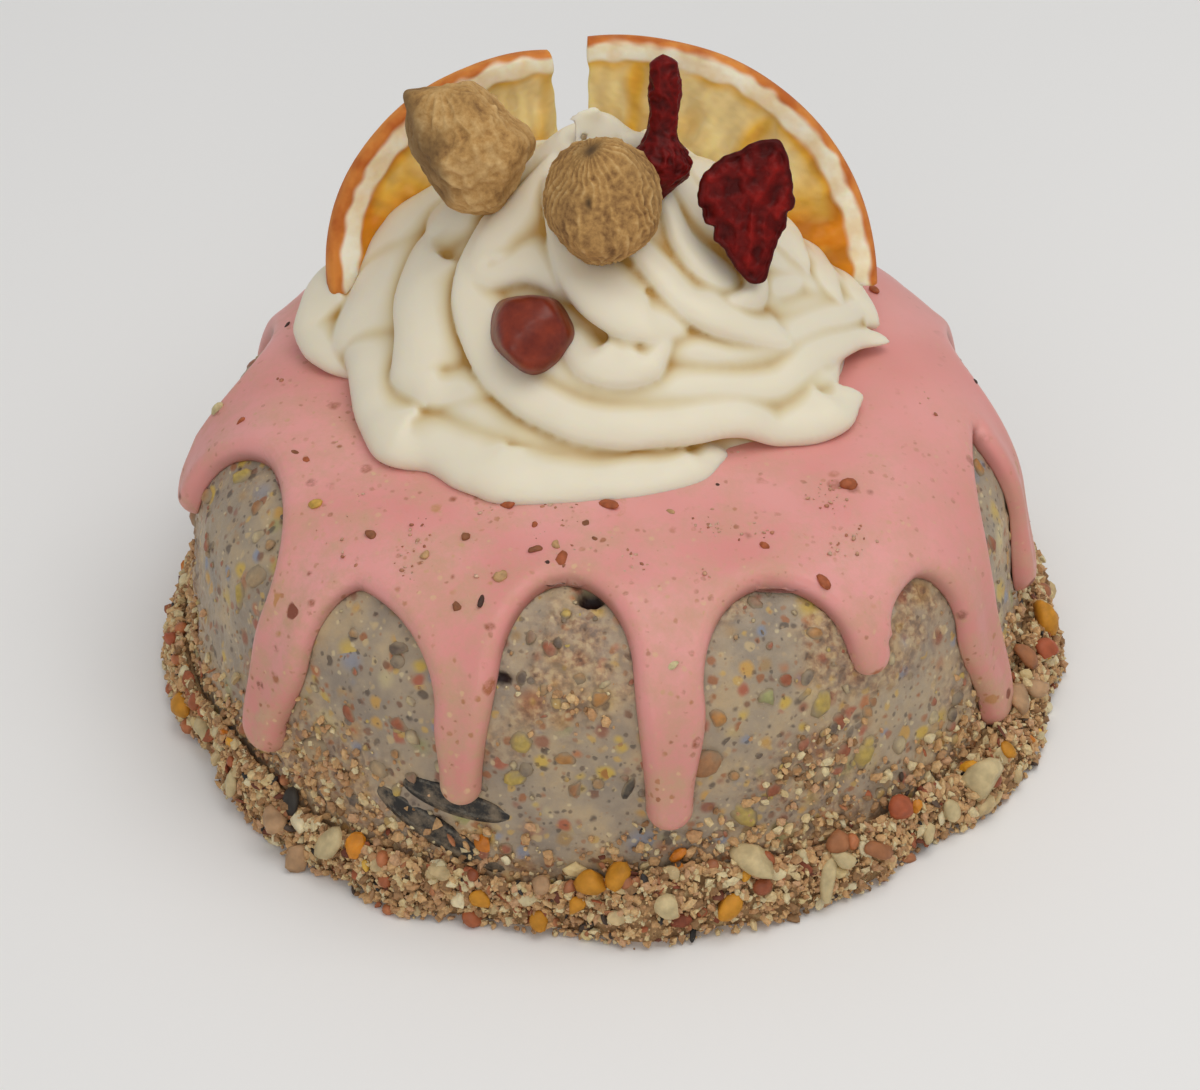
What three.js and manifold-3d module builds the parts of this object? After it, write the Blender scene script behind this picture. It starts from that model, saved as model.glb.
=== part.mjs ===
// A small drip cake, standing on its flat base with its front towards -Y, in millimetres, +Z up.
// The origin is the centre of the base. A pudding-shaped body of seeds set in hard fat carries a poured
// icing with drips, a collar of crumbs round its foot, a piped swirl of cream, and on that swirl two
// quarters of dried orange, two peanuts in their shells, a skinned kernel and two dried cranberries.
// Azimuths are in degrees round the axis: 0 is the front, +90 is the right-hand side (+X).
import * as THREE from "three";
import { mergeVertices } from "three/addons/utils/BufferGeometryUtils.js";
import Module from "manifold-3d";

const wasm = await Module();
wasm.setup();

// ---- driving dimensions ----
const GAP = 0.3; // clearance between two touching pieces

const BODY = {
  baseRadius: 64.7,
  flare: 0.12, // how much the side spreads for each millimetre down
  shoulderRadius: 19.4,
  height: 50.1, // at the middle of the crown
  crownAngle: 8.5, // slope of the top where the shoulder starts, degrees
};

// The icing lies from its underside to its raised face above the cake, and thins at its edge.
const ICING = {
  underside: 0.5,
  raised: 2.4,
  edgeRaised: 1.4,
  neckDrop: 13, // how far below the arches a drip takes its neck's width
};

// Each drip: azimuth at its root, azimuth at its tip, distance of the tip from the top's middle along
// the surface, widths of its neck and its tip. The arch to its right: azimuth and distance of its top.
const DRIPS = [
  { root: -90, tip: -88.5, length: 71, neckWidth: 14, tipWidth: 10, arch: -72, archTop: 50.6 },
  { root: -49.7, tip: -52.2, length: 87, neckWidth: 11.4, tipWidth: 8.6, arch: -40, archTop: 54 },
  { root: -19.6, tip: -19.8, length: 80.6, neckWidth: 9.3, tipWidth: 6.4, arch: -7, archTop: 45 },
  { root: 8.4, tip: 7.7, length: 83.2, neckWidth: 10.8, tipWidth: 7, arch: 25, archTop: 50 },
  { root: 38.8, tip: 38.3, length: 67.6, neckWidth: 8.2, tipWidth: 6.8, arch: 50, archTop: 59 },
  { root: 60.4, tip: 63.6, length: 93.4, neckWidth: 10.4, tipWidth: 8.2, arch: 84, archTop: 55.8 },
  { root: 86, tip: 82.5, length: 84, neckWidth: 11, tipWidth: 9, arch: 104, archTop: 56 },
  { root: 123, tip: 122, length: 86, neckWidth: 12.4, tipWidth: 8.4, arch: 138, archTop: 57 },
  { root: 151, tip: 150, length: 72, neckWidth: 11, tipWidth: 7.6, arch: 165, archTop: 52 },
  { root: 178, tip: 178, length: 90, neckWidth: 12.6, tipWidth: 9, arch: 192, archTop: 57 },
  { root: 204, tip: 204, length: 75, neckWidth: 11.4, tipWidth: 7.4, arch: 219, archTop: 50 },
  { root: 234, tip: 233, length: 88, neckWidth: 12.4, tipWidth: 8.8, arch: 251, archTop: 54 },
];

// The ring of crumbs leans out towards one azimuth. Under a drip that reaches down to it, its crest stays
// this far below the drip's tip (underDrip).
const COLLAR = { radius: 69, lean: 1.5, leanAzimuth: 100, height: 9, crestWidth: 1.5, underDrip: 0.8 };

// The swirl is a leaning heap of cream: radius is its half-width at the base height, stretch widens it
// sideways, back flattens its rear, and lean moves its middle backwards for each millimetre up.
const HEAP = {
  base: 50.5,
  top: 90,
  radius: 34,
  stretch: 1.15,
  back: 0.88,
  middle: 8,
  lean: 0.2,
  power: 1.3, // 1 would be a cone
};

// The folds that sweep over the heap, each a ribbon whose lower edge stands off what lies below it. A
// knot of that edge is [azimuth, height, half the fold's breadth, depth sunk into the heap].
const FOLDS = [
  [[-110, 59, 3, -5.3], [-102, 53, 4.6, -6.6], [-83, 51, 4.6, -2.5], [-78, 51, 4, 1]], // far left
  [[-117, 71, 4, -3.6], [-110, 59, 5.6, -3.2], [-76, 53, 5.6, 0], [-44, 51, 5, -5.4], [-28, 51, 4, -5.1]],
  [[-89, 72.5, 3.5, 0.5], [-78, 63.5, 5.2, 0], [-55, 56.5, 5, -0.6], [-34, 57.5, 4, 1]],
  // the long one round the front, then the two above it and the skirt under it
  [
    [-68, 74, 2.6, 0.6],
    [-40, 63, 3.4, 0],
    [-14, 57.5, 3.8, -0.8],
    [14, 55.5, 4.2, -1.5],
    [41, 51.5, 5, -1.4],
    [61, 51.5, 2.6, -3.6],
  ],
  [[-18, 62, 3, 1.6], [22, 58, 5, 0.7], [63, 55.5, 4.6, 0], [86, 51.5, 1.6, -3.2]],
  [[12, 63.5, 4, 1.8], [50, 59, 5.5, 1.3], [74, 56.5, 5.5, 1], [100, 52, 4, -2.1]],
  [[-32, 51.5, 4, -3.4], [-21, 51, 4, -6.2], [9, 50.5, 3.5, -3.4], [26, 51, 2.4, 0]],
  // up the left to the peak, and the curl under the peanuts
  [[-64, 81.5, 2.2, 1.4], [-62, 74, 4.6, 0.4], [-48, 69, 4.2, 1], [-11, 69.5, 3.6, 1.6]],
  [[-40, 80, 2.4, 0.5], [-12, 71.5, 4.2, -1], [12, 66.5, 4.4, -1.3], [20, 66, 3.6, -0.4]],
  [[-12, 65, 2.6, 1], [5, 62, 4.6, -1], [19, 64.5, 3.6, -0.3]],
  // the tongue and the ridge on the right
  [[14, 75.5, 2.6, 1], [27, 68, 5, -0.8], [50, 61.5, 4, -0.3]],
  [[46, 79, 3, 0.6], [41, 70, 4.8, 0], [62, 63.5, 3, 1]],
  // the body of the heap behind them, and the peak
  [[-60, 56, 6, 2.5], [-22, 53, 5, 0.4], [14, 52.5, 4, 0.8]],
  [[-125, 68, 7, -0.5], [-92, 55, 7, -1]],
  [[62, 79, 9, 2], [64, 70, 9, 2.5], [77, 63, 9, 2]],
  [[113, 77, 8, 1.5], [92, 68, 9, 2], [96, 59, 8, 0.5]],
  [[200, 75, 9, 3], [190, 80, 7.5, 3], [175, 85, 4.5, 3]],
  // round the back, from the lowest up
  [[102, 52, 7.6, -2], [180, 51, 8, -3.4], [252, 51.5, 7.4, -5]],
  [[98, 60, 7.6, 0], [174, 59.5, 8, -0.6], [246, 62, 7.4, 0]],
  [[106, 69, 7.6, 0.4], [182, 68.5, 7.4, 0.2], [260, 72, 7, 0.8]],
];
const FOLD = {
  wide: 1.15, // half the breadth of a fold's section, for a knot's size of 1
  thick: 0.54,
  edge: 0.9, // where the path runs, from the section's middle (0) to its lower edge (1)
  tilt: 33, // how far the lower edge is turned out, degrees
  outward: 0.45, // how much the heap's face leans up, for each millimetre out
  sides: 6,
  step: 14, // length of a facet along a fold
};
const FILLING_DEPTH = 2; // how far the plain filling lies under the heap's outline

// The quarters of dried orange open to the left (side -1) or the right. centre is the middle of the rim's
// circle, seen from the corner between the two cuts.
const SLICE_THICKNESS = 3.4;
const SLICES = {
  left: { side: -1, radius: 32, centre: [6, 2.5] },
  right: { side: 1, radius: 39.3, centre: [3.6, 0] },
};

// The nuts are stones bounded by flats. A flat is a direction and its distance from the middle, and the
// higher the power the sharper the edges between them.
const PEANUT_RIGHT = {
  power: 7,
  flats: [
    [1, -0.2, 0.1, 8.2],
    [-1, -0.2, 0.25, 7.9],
    [0.1, -0.1, -1, 9.2],
    [-0.35, -0.1, 1, 9.1],
    [0.6, -0.1, 0.8, 9],
    [-0.75, -0.1, -0.65, 8.6],
    [0.7, 0, -0.7, 9.4],
    [0, -1, 0.1, 7.6],
    [0.6, -0.8, -0.2, 7.7],
    [-0.6, -0.8, 0.2, 7.7],
    [0, 1, 0, 5],
  ],
};
const PEANUT_LEFT = {
  power: 11,
  flats: [
    [0.71, -0.2, 0.71, 6.5],
    [0.88, -0.1, -0.48, 7.7],
    [-0.19, -0.2, -0.98, 8.7],
    [-0.84, -0.2, -0.54, 7.5],
    [-1, -0.1, -0.12, 9.2],
    [-0.1, -0.1, 1, 9.4],
    [0.35, -0.9, 0.25, 6.8],
    [-0.5, -0.85, 0.25, 7],
    [-0.1, -0.9, -0.5, 7.1],
    [0, 1, 0, 6.2],
  ],
};
const KERNEL = {
  power: 8,
  flats: [
    [0.05, 0, 1, 5.7],
    [0.86, -0.2, 0.5, 5.7],
    [0.83, -0.2, -0.56, 5.9],
    [0.25, -0.1, -1, 6.1],
    [-0.75, -0.1, -0.8, 5.2],
    [-1, -0.2, 0.1, 5.8],
    [-0.7, -0.2, 0.75, 6.7],
    [0, -1, 0.2, 5.4],
    [0, 1, 0, 6.5],
  ],
};

// The upright cranberry: thin for its upper half, then swollen, closing to a point.
const SPINDLE = { halfHeight: 10.6, neck: 2.1, shoulder: 0.45, swell: 2.8, swellAt: 0.76, flat: 0.8 };

// The flat half of a cranberry, seen from the front: a corner at its upper right, a tail below, and a
// notch in its left side, each at an angle up from the right-hand side.
const FAN = {
  radius: 6.5,
  rise: 2, // how much farther the top is from the middle
  half: 2.5, // half its thickness
  corner: { out: 2.9, at: 68, width: 20 },
  tail: { out: 4.4, at: 281, width: 22 },
  notch: { out: -1.1, at: 211, width: 9 },
};

// Where each topping sits and how it is turned, in degrees. make gives its shape, grown on every side.
const TOPPINGS = [
  {
    name: "orange_quarter_left",
    make: (grow) => sliceGeometry(SLICES.left, grow),
    at: [-4.2, 25, 54],
    turn: [-15, 0, 18],
    color: 0xd9b24a,
    roughness: 0.5,
  },
  {
    name: "orange_quarter_right",
    make: (grow) => sliceGeometry(SLICES.right, grow),
    at: [-1, 18.8, 54],
    turn: [-15, 0, 0],
    color: 0xd9b24a,
    roughness: 0.5,
  },
  {
    name: "peanut_shell_left",
    make: (grow) => pebbleGeometry(stone(PEANUT_LEFT), grow, 14, 10),
    at: [-17.8, 8.4, 86.3],
    turn: [-34, 0, 0],
    color: 0xb98f5f,
    roughness: 0.85,
  },
  {
    name: "peanut_shell_right",
    make: (grow) => pebbleGeometry(stone(PEANUT_RIGHT), grow, 14, 10),
    at: [0.6, -1.6, 83.2],
    turn: [-34, 0, 0],
    color: 0xa98456,
    roughness: 0.85,
  },
  {
    name: "peanut_kernel",
    make: (grow) => pebbleGeometry(stone(KERNEL), grow, 12, 9),
    at: [-9.9, -10.8, 66.5],
    turn: [-39, 0, 0],
    color: 0x7a2a18,
    roughness: 0.4,
  },
  {
    name: "cranberry_left",
    make: (grow) => pebbleGeometry(spindle, grow, 8, 12),
    at: [9.6, 9.7, 88.1],
    turn: [-30, 0, 0],
    color: 0x5e1518,
    roughness: 0.4,
  },
  {
    name: "cranberry_right",
    make: (grow) => pebbleGeometry(fanned, grow, 20, 8),
    at: [21.3, 0.9, 79.4],
    turn: [-32, 4, 0],
    color: 0x5e1518,
    roughness: 0.4,
  },
];

// ---- small helpers ----
const rad = THREE.MathUtils.degToRad;
const mix = THREE.MathUtils.lerp;

// Joins a grid of rows into triangles: points[i][j], turned so that the faces point out.
function gridTriangles(points, flip = false) {
  const out = [];
  for (let i = 0; i + 1 < points.length; i++) {
    for (let j = 0; j + 1 < points[i].length; j++) {
      const [a, b, c, d] = [points[i][j], points[i][j + 1], points[i + 1][j + 1], points[i + 1][j]];
      const quad = flip ? [a, c, b, a, d, c] : [a, b, c, a, c, d];
      quad.forEach((p) => out.push(p.x, p.y, p.z));
    }
  }
  return out;
}

function geometryOf(triangles) {
  const geometry = new THREE.BufferGeometry();
  geometry.setAttribute("position", new THREE.Float32BufferAttribute(triangles, 3));
  return geometry;
}

// A closed geometry as a manifold solid, without the triangles that have shrunk to nothing.
function solidOf(geometry) {
  const plain = geometry.index ? geometry.toNonIndexed() : geometry.clone();
  plain.deleteAttribute("normal");
  plain.deleteAttribute("uv");
  const merged = mergeVertices(plain, 1e-3);
  const index = merged.index.array;
  const kept = [];
  for (let i = 0; i < index.length; i += 3) {
    const [a, b, c] = [index[i], index[i + 1], index[i + 2]];
    if (a !== b && b !== c && a !== c) kept.push(a, b, c);
  }
  const vertProperties = merged.attributes.position.array;
  return new wasm.Manifold(new wasm.Mesh({ numProp: 3, vertProperties, triVerts: new Uint32Array(kept) }));
}

function geometryFrom(solid) {
  const mesh = solid.getMesh();
  const positions = new Float32Array(mesh.numVert * 3);
  for (let i = 0; i < mesh.numVert; i++) {
    positions.set(mesh.vertProperties.subarray(i * mesh.numProp, i * mesh.numProp + 3), i * 3);
  }
  const geometry = new THREE.BufferGeometry();
  geometry.setAttribute("position", new THREE.BufferAttribute(positions, 3));
  geometry.setIndex(new THREE.BufferAttribute(new Uint32Array(mesh.triVerts), 1));
  geometry.computeVertexNormals();
  return geometry;
}

function meshOf(name, geometry, color, roughness) {
  const mesh = new THREE.Mesh(geometry, new THREE.MeshStandardMaterial({ color, roughness, metalness: 0 }));
  mesh.name = name;
  return mesh;
}

// ---- the cake's section: a crown, a round shoulder and a flared side, tangent to each other ----
const slope = Math.hypot(1, BODY.flare);
const halfCrown = Math.tan(rad(BODY.crownAngle) / 2);
const shoulderZ =
  (BODY.height - BODY.shoulderRadius - halfCrown * (BODY.baseRadius - BODY.shoulderRadius * slope)) /
  (1 - halfCrown * BODY.flare);
const shoulderR = BODY.baseRadius - BODY.flare * shoulderZ - BODY.shoulderRadius * slope;
const crownRadius = BODY.shoulderRadius + shoulderR / Math.sin(rad(BODY.crownAngle));
const crownZ = BODY.height - crownRadius;
const sideAngle = Math.PI / 2 - Math.atan(BODY.flare); // tilt of the side's normal from +Z
const crownLength = crownRadius * rad(BODY.crownAngle);
const shoulderLength = BODY.shoulderRadius * (sideAngle - rad(BODY.crownAngle));
const sideTop = shoulderZ + BODY.shoulderRadius * Math.cos(sideAngle);
const sectionLength = crownLength + shoulderLength + sideTop * slope;

// The point of the section at a distance from the top's middle, raised from the surface by a thickness.
function sectionPoint(distance, raised) {
  if (distance < crownLength) {
    const angle = distance / crownRadius;
    const reach = crownRadius + raised;
    return { r: reach * Math.sin(angle), z: crownZ + reach * Math.cos(angle) };
  }
  const onShoulder = Math.min(distance - crownLength, shoulderLength);
  const angle = rad(BODY.crownAngle) + onShoulder / BODY.shoulderRadius;
  const reach = BODY.shoulderRadius + raised;
  const down = Math.max(0, distance - crownLength - shoulderLength) / slope;
  return {
    r: shoulderR + reach * Math.sin(angle) + down * BODY.flare,
    z: shoulderZ + reach * Math.cos(angle) - down,
  };
}

function surfacePoint(azimuth, distance, raised) {
  const { r, z } = sectionPoint(distance, raised);
  return new THREE.Vector3(r * Math.sin(rad(azimuth)), -r * Math.cos(rad(azimuth)), z);
}

// The cake's whole shape, grown by a thickness, as a lathe from the base up to the crown.
function cakeGeometry(raised, segments, floor = 0) {
  const rows = 6;
  const foot = sectionPoint(sectionLength, raised);
  const profile = [new THREE.Vector2(0, floor)];
  profile.push(new THREE.Vector2(foot.r + (foot.z - floor) * BODY.flare, floor));
  const addAt = (distance) => {
    const { r, z } = sectionPoint(distance, raised);
    profile.push(new THREE.Vector2(r, z));
  };
  for (let i = 0; i <= rows; i++) addAt(crownLength + shoulderLength * (1 - i / rows));
  addAt(crownLength / 2);
  addAt(0);
  return new THREE.LatheGeometry(profile, segments).rotateX(Math.PI / 2);
}

// ---- poured icing ----
// One side of a drip, from the top of the arch beside it down to the tip: a quarter of an ellipse under
// the arch, a smooth taper, a quarter of a circle round the tip. side is -1 on the left, 1 on the right.
function dripEdge(drip, arch, side, share) {
  const [archShare, tipShare] = [0.42, 0.78];
  const perMm = 180 / (Math.PI * BODY.baseRadius);
  const tipHalf = drip.tipWidth / 2;
  const bottom = drip.length - tipHalf;
  const neckAt = arch.top + Math.min(ICING.neckDrop, (bottom - arch.top) * 0.85);
  const neck = drip.root + (side * drip.neckWidth * perMm) / 2;
  const tipEdge = drip.tip + side * tipHalf * perMm;
  if (share <= archShare) {
    const turn = ((share / archShare) * Math.PI) / 2;
    return [mix(arch.azimuth, neck, Math.sin(turn)), mix(arch.top, neckAt, 1 - Math.cos(turn))];
  }
  if (share <= tipShare) {
    const t = (share - archShare) / (tipShare - archShare);
    return [mix(neck, tipEdge, THREE.MathUtils.smoothstep(t, 0, 1)), mix(neckAt, bottom, t)];
  }
  const turn = (((share - tipShare) / (1 - tipShare)) * Math.PI) / 2;
  return [mix(drip.tip, tipEdge, Math.cos(turn)), bottom + tipHalf * Math.sin(turn)];
}

// The icing between two arches: rows from the middle of the top to the arches, then on down the drip.
function icingSector(drip, left, right, raisedAt) {
  const [across, capRows, dripRows] = [4, 4, 7];
  const rows = [];
  for (let i = 0; i <= capRows + dripRows; i++) {
    const row = [];
    for (let j = 0; j <= across; j++) {
      const a = (1 - Math.cos((Math.PI * j) / across)) / 2;
      const b = Math.max(0, (i - capRows) / dripRows);
      const [leftAzimuth, leftAt] = dripEdge(drip, left, -1, b);
      const [rightAzimuth, rightAt] = dripEdge(drip, right, 1, b);
      const onEdge = (i >= capRows && (j === 0 || j === across)) || i === capRows + dripRows;
      const edge = mix(leftAt, rightAt, a);
      const flat = Math.min(crownLength, edge * 0.9);
      const capAt = i < 2 ? (flat * i) / 2 : mix(flat, edge, (i - 2) / (capRows - 2));
      const distance = i < capRows ? capAt : edge;
      row.push(surfacePoint(mix(leftAzimuth, rightAzimuth, a), distance, raisedAt(onEdge)));
    }
    rows.push(row);
  }
  const rim = rows.slice(capRows).map((row) => row[0]);
  rows
    .slice(capRows)
    .reverse()
    .forEach((row) => rim.push(row[across]));
  return { rows, rim };
}

function icingGeometry() {
  const triangles = [];
  DRIPS.forEach((drip, i) => {
    const before = DRIPS[(i + DRIPS.length - 1) % DRIPS.length];
    const turnBack = i === 0 ? 360 : 0;
    const left = { azimuth: before.arch - turnBack, top: before.archTop };
    const right = { azimuth: drip.arch, top: drip.archTop };
    const outer = icingSector(drip, left, right, (onEdge) => (onEdge ? ICING.edgeRaised : ICING.raised));
    const inner = icingSector(drip, left, right, () => ICING.underside);
    triangles.push(...gridTriangles(outer.rows, true), ...gridTriangles(inner.rows));
    triangles.push(...gridTriangles([outer.rim, inner.rim], true));
  });
  return geometryOf(triangles);
}

// ---- crumb collar: an uneven ring heaped against the foot ----
function collarGeometry() {
  const segments = 48;
  const rows = [];
  for (let i = 0; i <= segments; i++) {
    const azimuth = (360 * (i % segments)) / segments;
    const a = rad(azimuth);
    const ragged = 0.9 * Math.sin(7 * a) + 0.7 * Math.sin(13 * a + 1) + 0.5 * Math.sin(23 * a);
    const outer = COLLAR.radius + COLLAR.lean * Math.cos(a - rad(COLLAR.leanAzimuth)) + ragged;
    const uneven = COLLAR.height + 1.2 * Math.sin(5 * a + 0.6) + 0.8 * Math.sin(11 * a);
    const over = DRIPS.filter((drip) => Math.abs(drip.tip - (azimuth > 270 ? azimuth - 360 : azimuth)) < 6);
    const room = over.map((drip) => sectionPoint(drip.length, 0).z - COLLAR.underDrip);
    const height = Math.min(uneven, ...room);
    const foot = BODY.baseRadius + GAP;
    const wall = (z) => foot - z * BODY.flare;
    const point = (r, z) => new THREE.Vector3(r * Math.sin(a), -r * Math.cos(a), z);
    const crest = wall(height) + COLLAR.crestWidth;
    rows.push([
      point(wall(0), 0),
      point(outer, 0),
      point(outer - 0.6, height * 0.28),
      point(mix(outer, crest, 0.55), height * 0.75),
      point(crest, height),
      point(wall(height), height * 0.92),
      point(wall(0), 0),
    ]);
  }
  return geometryOf(gridTriangles(rows, true));
}

// ---- piped cream ----
function heapPoint(azimuth, height, depth) {
  const up = THREE.MathUtils.clamp((height - HEAP.base) / (HEAP.top - HEAP.base), 0, 1);
  const radius = HEAP.radius * (1 - up ** HEAP.power) - depth;
  const forward = radius * Math.cos(rad(azimuth));
  const middle = HEAP.middle + HEAP.lean * (height - HEAP.base);
  const flattened = forward > 0 ? forward : forward * HEAP.back;
  return new THREE.Vector3(HEAP.stretch * radius * Math.sin(rad(azimuth)), middle - flattened, height);
}

// A smooth curve through the knots, with t from 0 to 1 along all of them.
function knotAt(knots, t) {
  const spans = knots.length - 1;
  const span = Math.min(Math.floor(t * spans), spans - 1);
  const u = t * spans - span;
  const knot = (i, axis) => {
    if (i < 0) return 2 * knots[0][axis] - knots[1][axis];
    if (i > spans) return 2 * knots[spans][axis] - knots[spans - 1][axis];
    return knots[i][axis];
  };
  return knots[0].map((_, axis) => {
    const [a, b, c, d] = [-1, 0, 1, 2].map((step) => knot(span + step, axis));
    const bend = (a - 2.5 * b + 2 * c - d / 2) * u ** 2 + (1.5 * (b - c) + (d - a) / 2) * u ** 3;
    return b + ((c - a) * u) / 2 + bend;
  });
}

// One fold: drop-shaped rings along its path, thick at the lower edge and thin at the upper one, turned
// so that the lower edge stands off the heap, with rounded ends.
function foldSolid(knots) {
  const centreAt = (t) => {
    const [azimuth, height, , depth] = knotAt(knots, THREE.MathUtils.clamp(t, 0, 1));
    return heapPoint(azimuth, height, depth);
  };
  const samples = Array.from({ length: 17 }, (_, i) => centreAt(i / 16));
  const length = samples.slice(1).reduce((sum, point, i) => sum + point.distanceTo(samples[i]), 0);
  const steps = Math.max(knots.length, Math.ceil(length / FOLD.step));
  const [cosTilt, sinTilt] = [Math.cos(rad(FOLD.tilt)), Math.sin(rad(FOLD.tilt))];
  const rings = [];
  const addRing = (t, shift, size) => {
    const along = centreAt(t + 0.02)
      .sub(centreAt(t - 0.02))
      .normalize();
    const path = centreAt(t).addScaledVector(along, shift);
    const outward = path.clone().setY(path.y - HEAP.middle - HEAP.lean * (path.z - HEAP.base));
    outward.setZ(FOLD.outward * Math.hypot(outward.x, outward.y));
    const edge = along.clone().cross(outward).normalize();
    const off = edge.clone().cross(along);
    const longWay = edge.clone().multiplyScalar(cosTilt).addScaledVector(off, sinTilt);
    const thinWay = off.clone().multiplyScalar(cosTilt).addScaledVector(edge, -sinTilt);
    const ring = [];
    for (let k = 0; k <= FOLD.sides; k++) {
      const angle = (2 * Math.PI * (k % FOLD.sides)) / FOLD.sides;
      const narrowing = Math.sqrt(0.5 + 0.5 * Math.cos(angle));
      const p = path.clone().addScaledVector(longWay, size * FOLD.wide * (Math.cos(angle) - FOLD.edge));
      ring.push(p.addScaledVector(thinWay, size * FOLD.thick * Math.sin(angle) * narrowing));
    }
    rings.push(ring);
  };
  const [startSize, endSize] = [knots[0][2], knots[knots.length - 1][2]];
  addRing(0, -startSize, 0);
  addRing(0, -0.7 * startSize, 0.7 * startSize);
  for (let i = 0; i <= steps; i++) addRing(i / steps, 0, knotAt(knots, i / steps)[2]);
  addRing(1, 0.7 * endSize, 0.7 * endSize);
  addRing(1, endSize, 0);
  return solidOf(geometryOf(gridTriangles(rings, true)));
}

function fillingSolid() {
  const [bottom, top, levels, sides] = [46, 84, 4, 16];
  const rings = [];
  for (let i = -1; i <= levels + 1; i++) {
    const height = mix(bottom, top, THREE.MathUtils.clamp(i / levels, 0, 1));
    const depth = i < 0 || i > levels ? heapPoint(90, height, 0).x / HEAP.stretch : FILLING_DEPTH;
    const ring = [];
    for (let k = 0; k <= sides; k++) ring.push(heapPoint((360 * (k % sides)) / sides, height, depth));
    rings.push(ring);
  }
  return solidOf(geometryOf(gridTriangles(rings)));
}

// ---- toppings ----
// A ball drawn out to its half-sizes, which a function gives for each direction.
function pebbleGeometry(halfSizesAt, grow, wide, high) {
  const geometry = new THREE.SphereGeometry(1, wide, high).rotateX(Math.PI / 2);
  const position = geometry.attributes.position;
  for (let i = 0; i < position.count; i++) {
    const v = new THREE.Vector3().fromBufferAttribute(position, i);
    const [x, y, z] = halfSizesAt(v);
    position.setXYZ(i, v.x * (x + grow), v.y * (y + grow), v.z * (z + grow));
  }
  return geometry;
}

// A stone's half-sizes in a direction. The radius is the p-norm of how steeply that direction runs at
// each flat over the flat's distance, which rounds the edges between them.
function stone({ flats, power }) {
  const facing = flats.map(([x, y, z]) => new THREE.Vector3(x, y, z).normalize());
  return (v) => {
    const steep = facing.map((flat, i) => Math.max(0, v.dot(flat)) / flats[i][3]);
    const radius = steep.reduce((sum, value) => sum + value ** power, 0) ** (-1 / power);
    return [radius, radius, radius];
  };
}

// The upright cranberry's half-sizes in a direction, from its width at that height.
function spindle(v) {
  const down = (1 - v.z) / 2;
  const bump = (at, width) => Math.exp(-(((down - at) / width) ** 2));
  const upper = SPINDLE.neck + SPINDLE.shoulder * bump(0.26, 0.14);
  const wide = upper + SPINDLE.swell * bump(SPINDLE.swellAt, 0.16);
  const ends = Math.sqrt(
    THREE.MathUtils.smoothstep(down, 0, 0.07) * THREE.MathUtils.smoothstep(1 - down, 0, 0.16) + 1e-3,
  );
  const radius = (wide * ends) / Math.sqrt(Math.max(1 - v.z * v.z, 0.02));
  return [radius, SPINDLE.flat * radius, SPINDLE.halfHeight];
}

// The flat cranberry's half-sizes in a direction, from its outline seen from the front.
function fanned(v) {
  const angle = (THREE.MathUtils.radToDeg(Math.atan2(v.z, v.x)) + 360) % 360;
  let radius = FAN.radius + FAN.rise * Math.sqrt(Math.max(0, Math.sin(rad(angle))));
  for (const { out, at, width } of [FAN.corner, FAN.tail, FAN.notch]) {
    radius += out * Math.exp(-(((angle - at) / width) ** 2));
  }
  return [radius, FAN.half, radius];
}

// A quarter of a round slice: it fans out from the corner of its two cuts to the round rim.
function sliceGeometry({ side, radius, centre }, grow) {
  const [fan, reach] = [10, 4];
  const half = SLICE_THICKNESS / 2 + grow;
  const face = (y) => {
    const rows = [];
    for (let i = 0; i <= reach; i++) {
      const row = [];
      for (let j = 0; j <= fan; j++) {
        const angle = (Math.PI / 2) * (j / fan);
        const [dx, dz] = [Math.cos(angle), Math.sin(angle)];
        const along = centre[0] * dx + centre[1] * dz;
        const off = centre[0] ** 2 + centre[1] ** 2 - (radius + grow) ** 2;
        const length = (along + Math.sqrt(along * along - off)) * (i / reach);
        const wave = 0.8 * Math.sin(3.2 * angle) * (i / reach);
        row.push(new THREE.Vector3(side * length * dx, y + wave, length * dz));
      }
      rows.push(row);
    }
    return rows;
  };
  const [front, back] = [face(-half), face(half)];
  const rim = (rows) => {
    const [start, end] = [0, fan].map((j) => rows.map((row) => row[j]));
    return [...start, ...rows[reach].slice(1, fan), ...end.reverse()];
  };
  const flip = side > 0;
  return geometryOf([
    ...gridTriangles(front, flip),
    ...gridTriangles(back, !flip),
    ...gridTriangles([rim(front), rim(back)], flip),
  ]);
}

// ---- the cake ----
const cake = new THREE.Group();
cake.add(meshOf("cake_body", cakeGeometry(0, 48), 0x8f877b, 0.5));
cake.add(meshOf("pink_icing", icingGeometry(), 0xd98f86, 0.35));
cake.add(meshOf("crumb_collar", collarGeometry(), 0xb08a62, 0.9));

const clearance = solidOf(cakeGeometry(ICING.raised + GAP, 36, -5));
let cream = wasm.Manifold.union([fillingSolid(), ...FOLDS.map(foldSolid)]).subtract(clearance);
TOPPINGS.forEach(({ name, make, at, turn, color, roughness }) => {
  const mesh = meshOf(name, make(0), color, roughness);
  mesh.position.set(...at);
  mesh.rotation.set(...turn.map(rad), "ZYX");
  mesh.updateMatrixWorld();
  cream = cream.subtract(solidOf(make(GAP).applyMatrix4(mesh.matrixWorld)));
  cake.add(mesh);
});
// The toppings cut small crumbs of cream off, which are left out.
const [largest] = cream.decompose().sort((a, b) => b.volume() - a.volume());
cake.add(meshOf("cream_swirl", geometryFrom(largest), 0xe9e2cf, 0.4));

export default cake;
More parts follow.
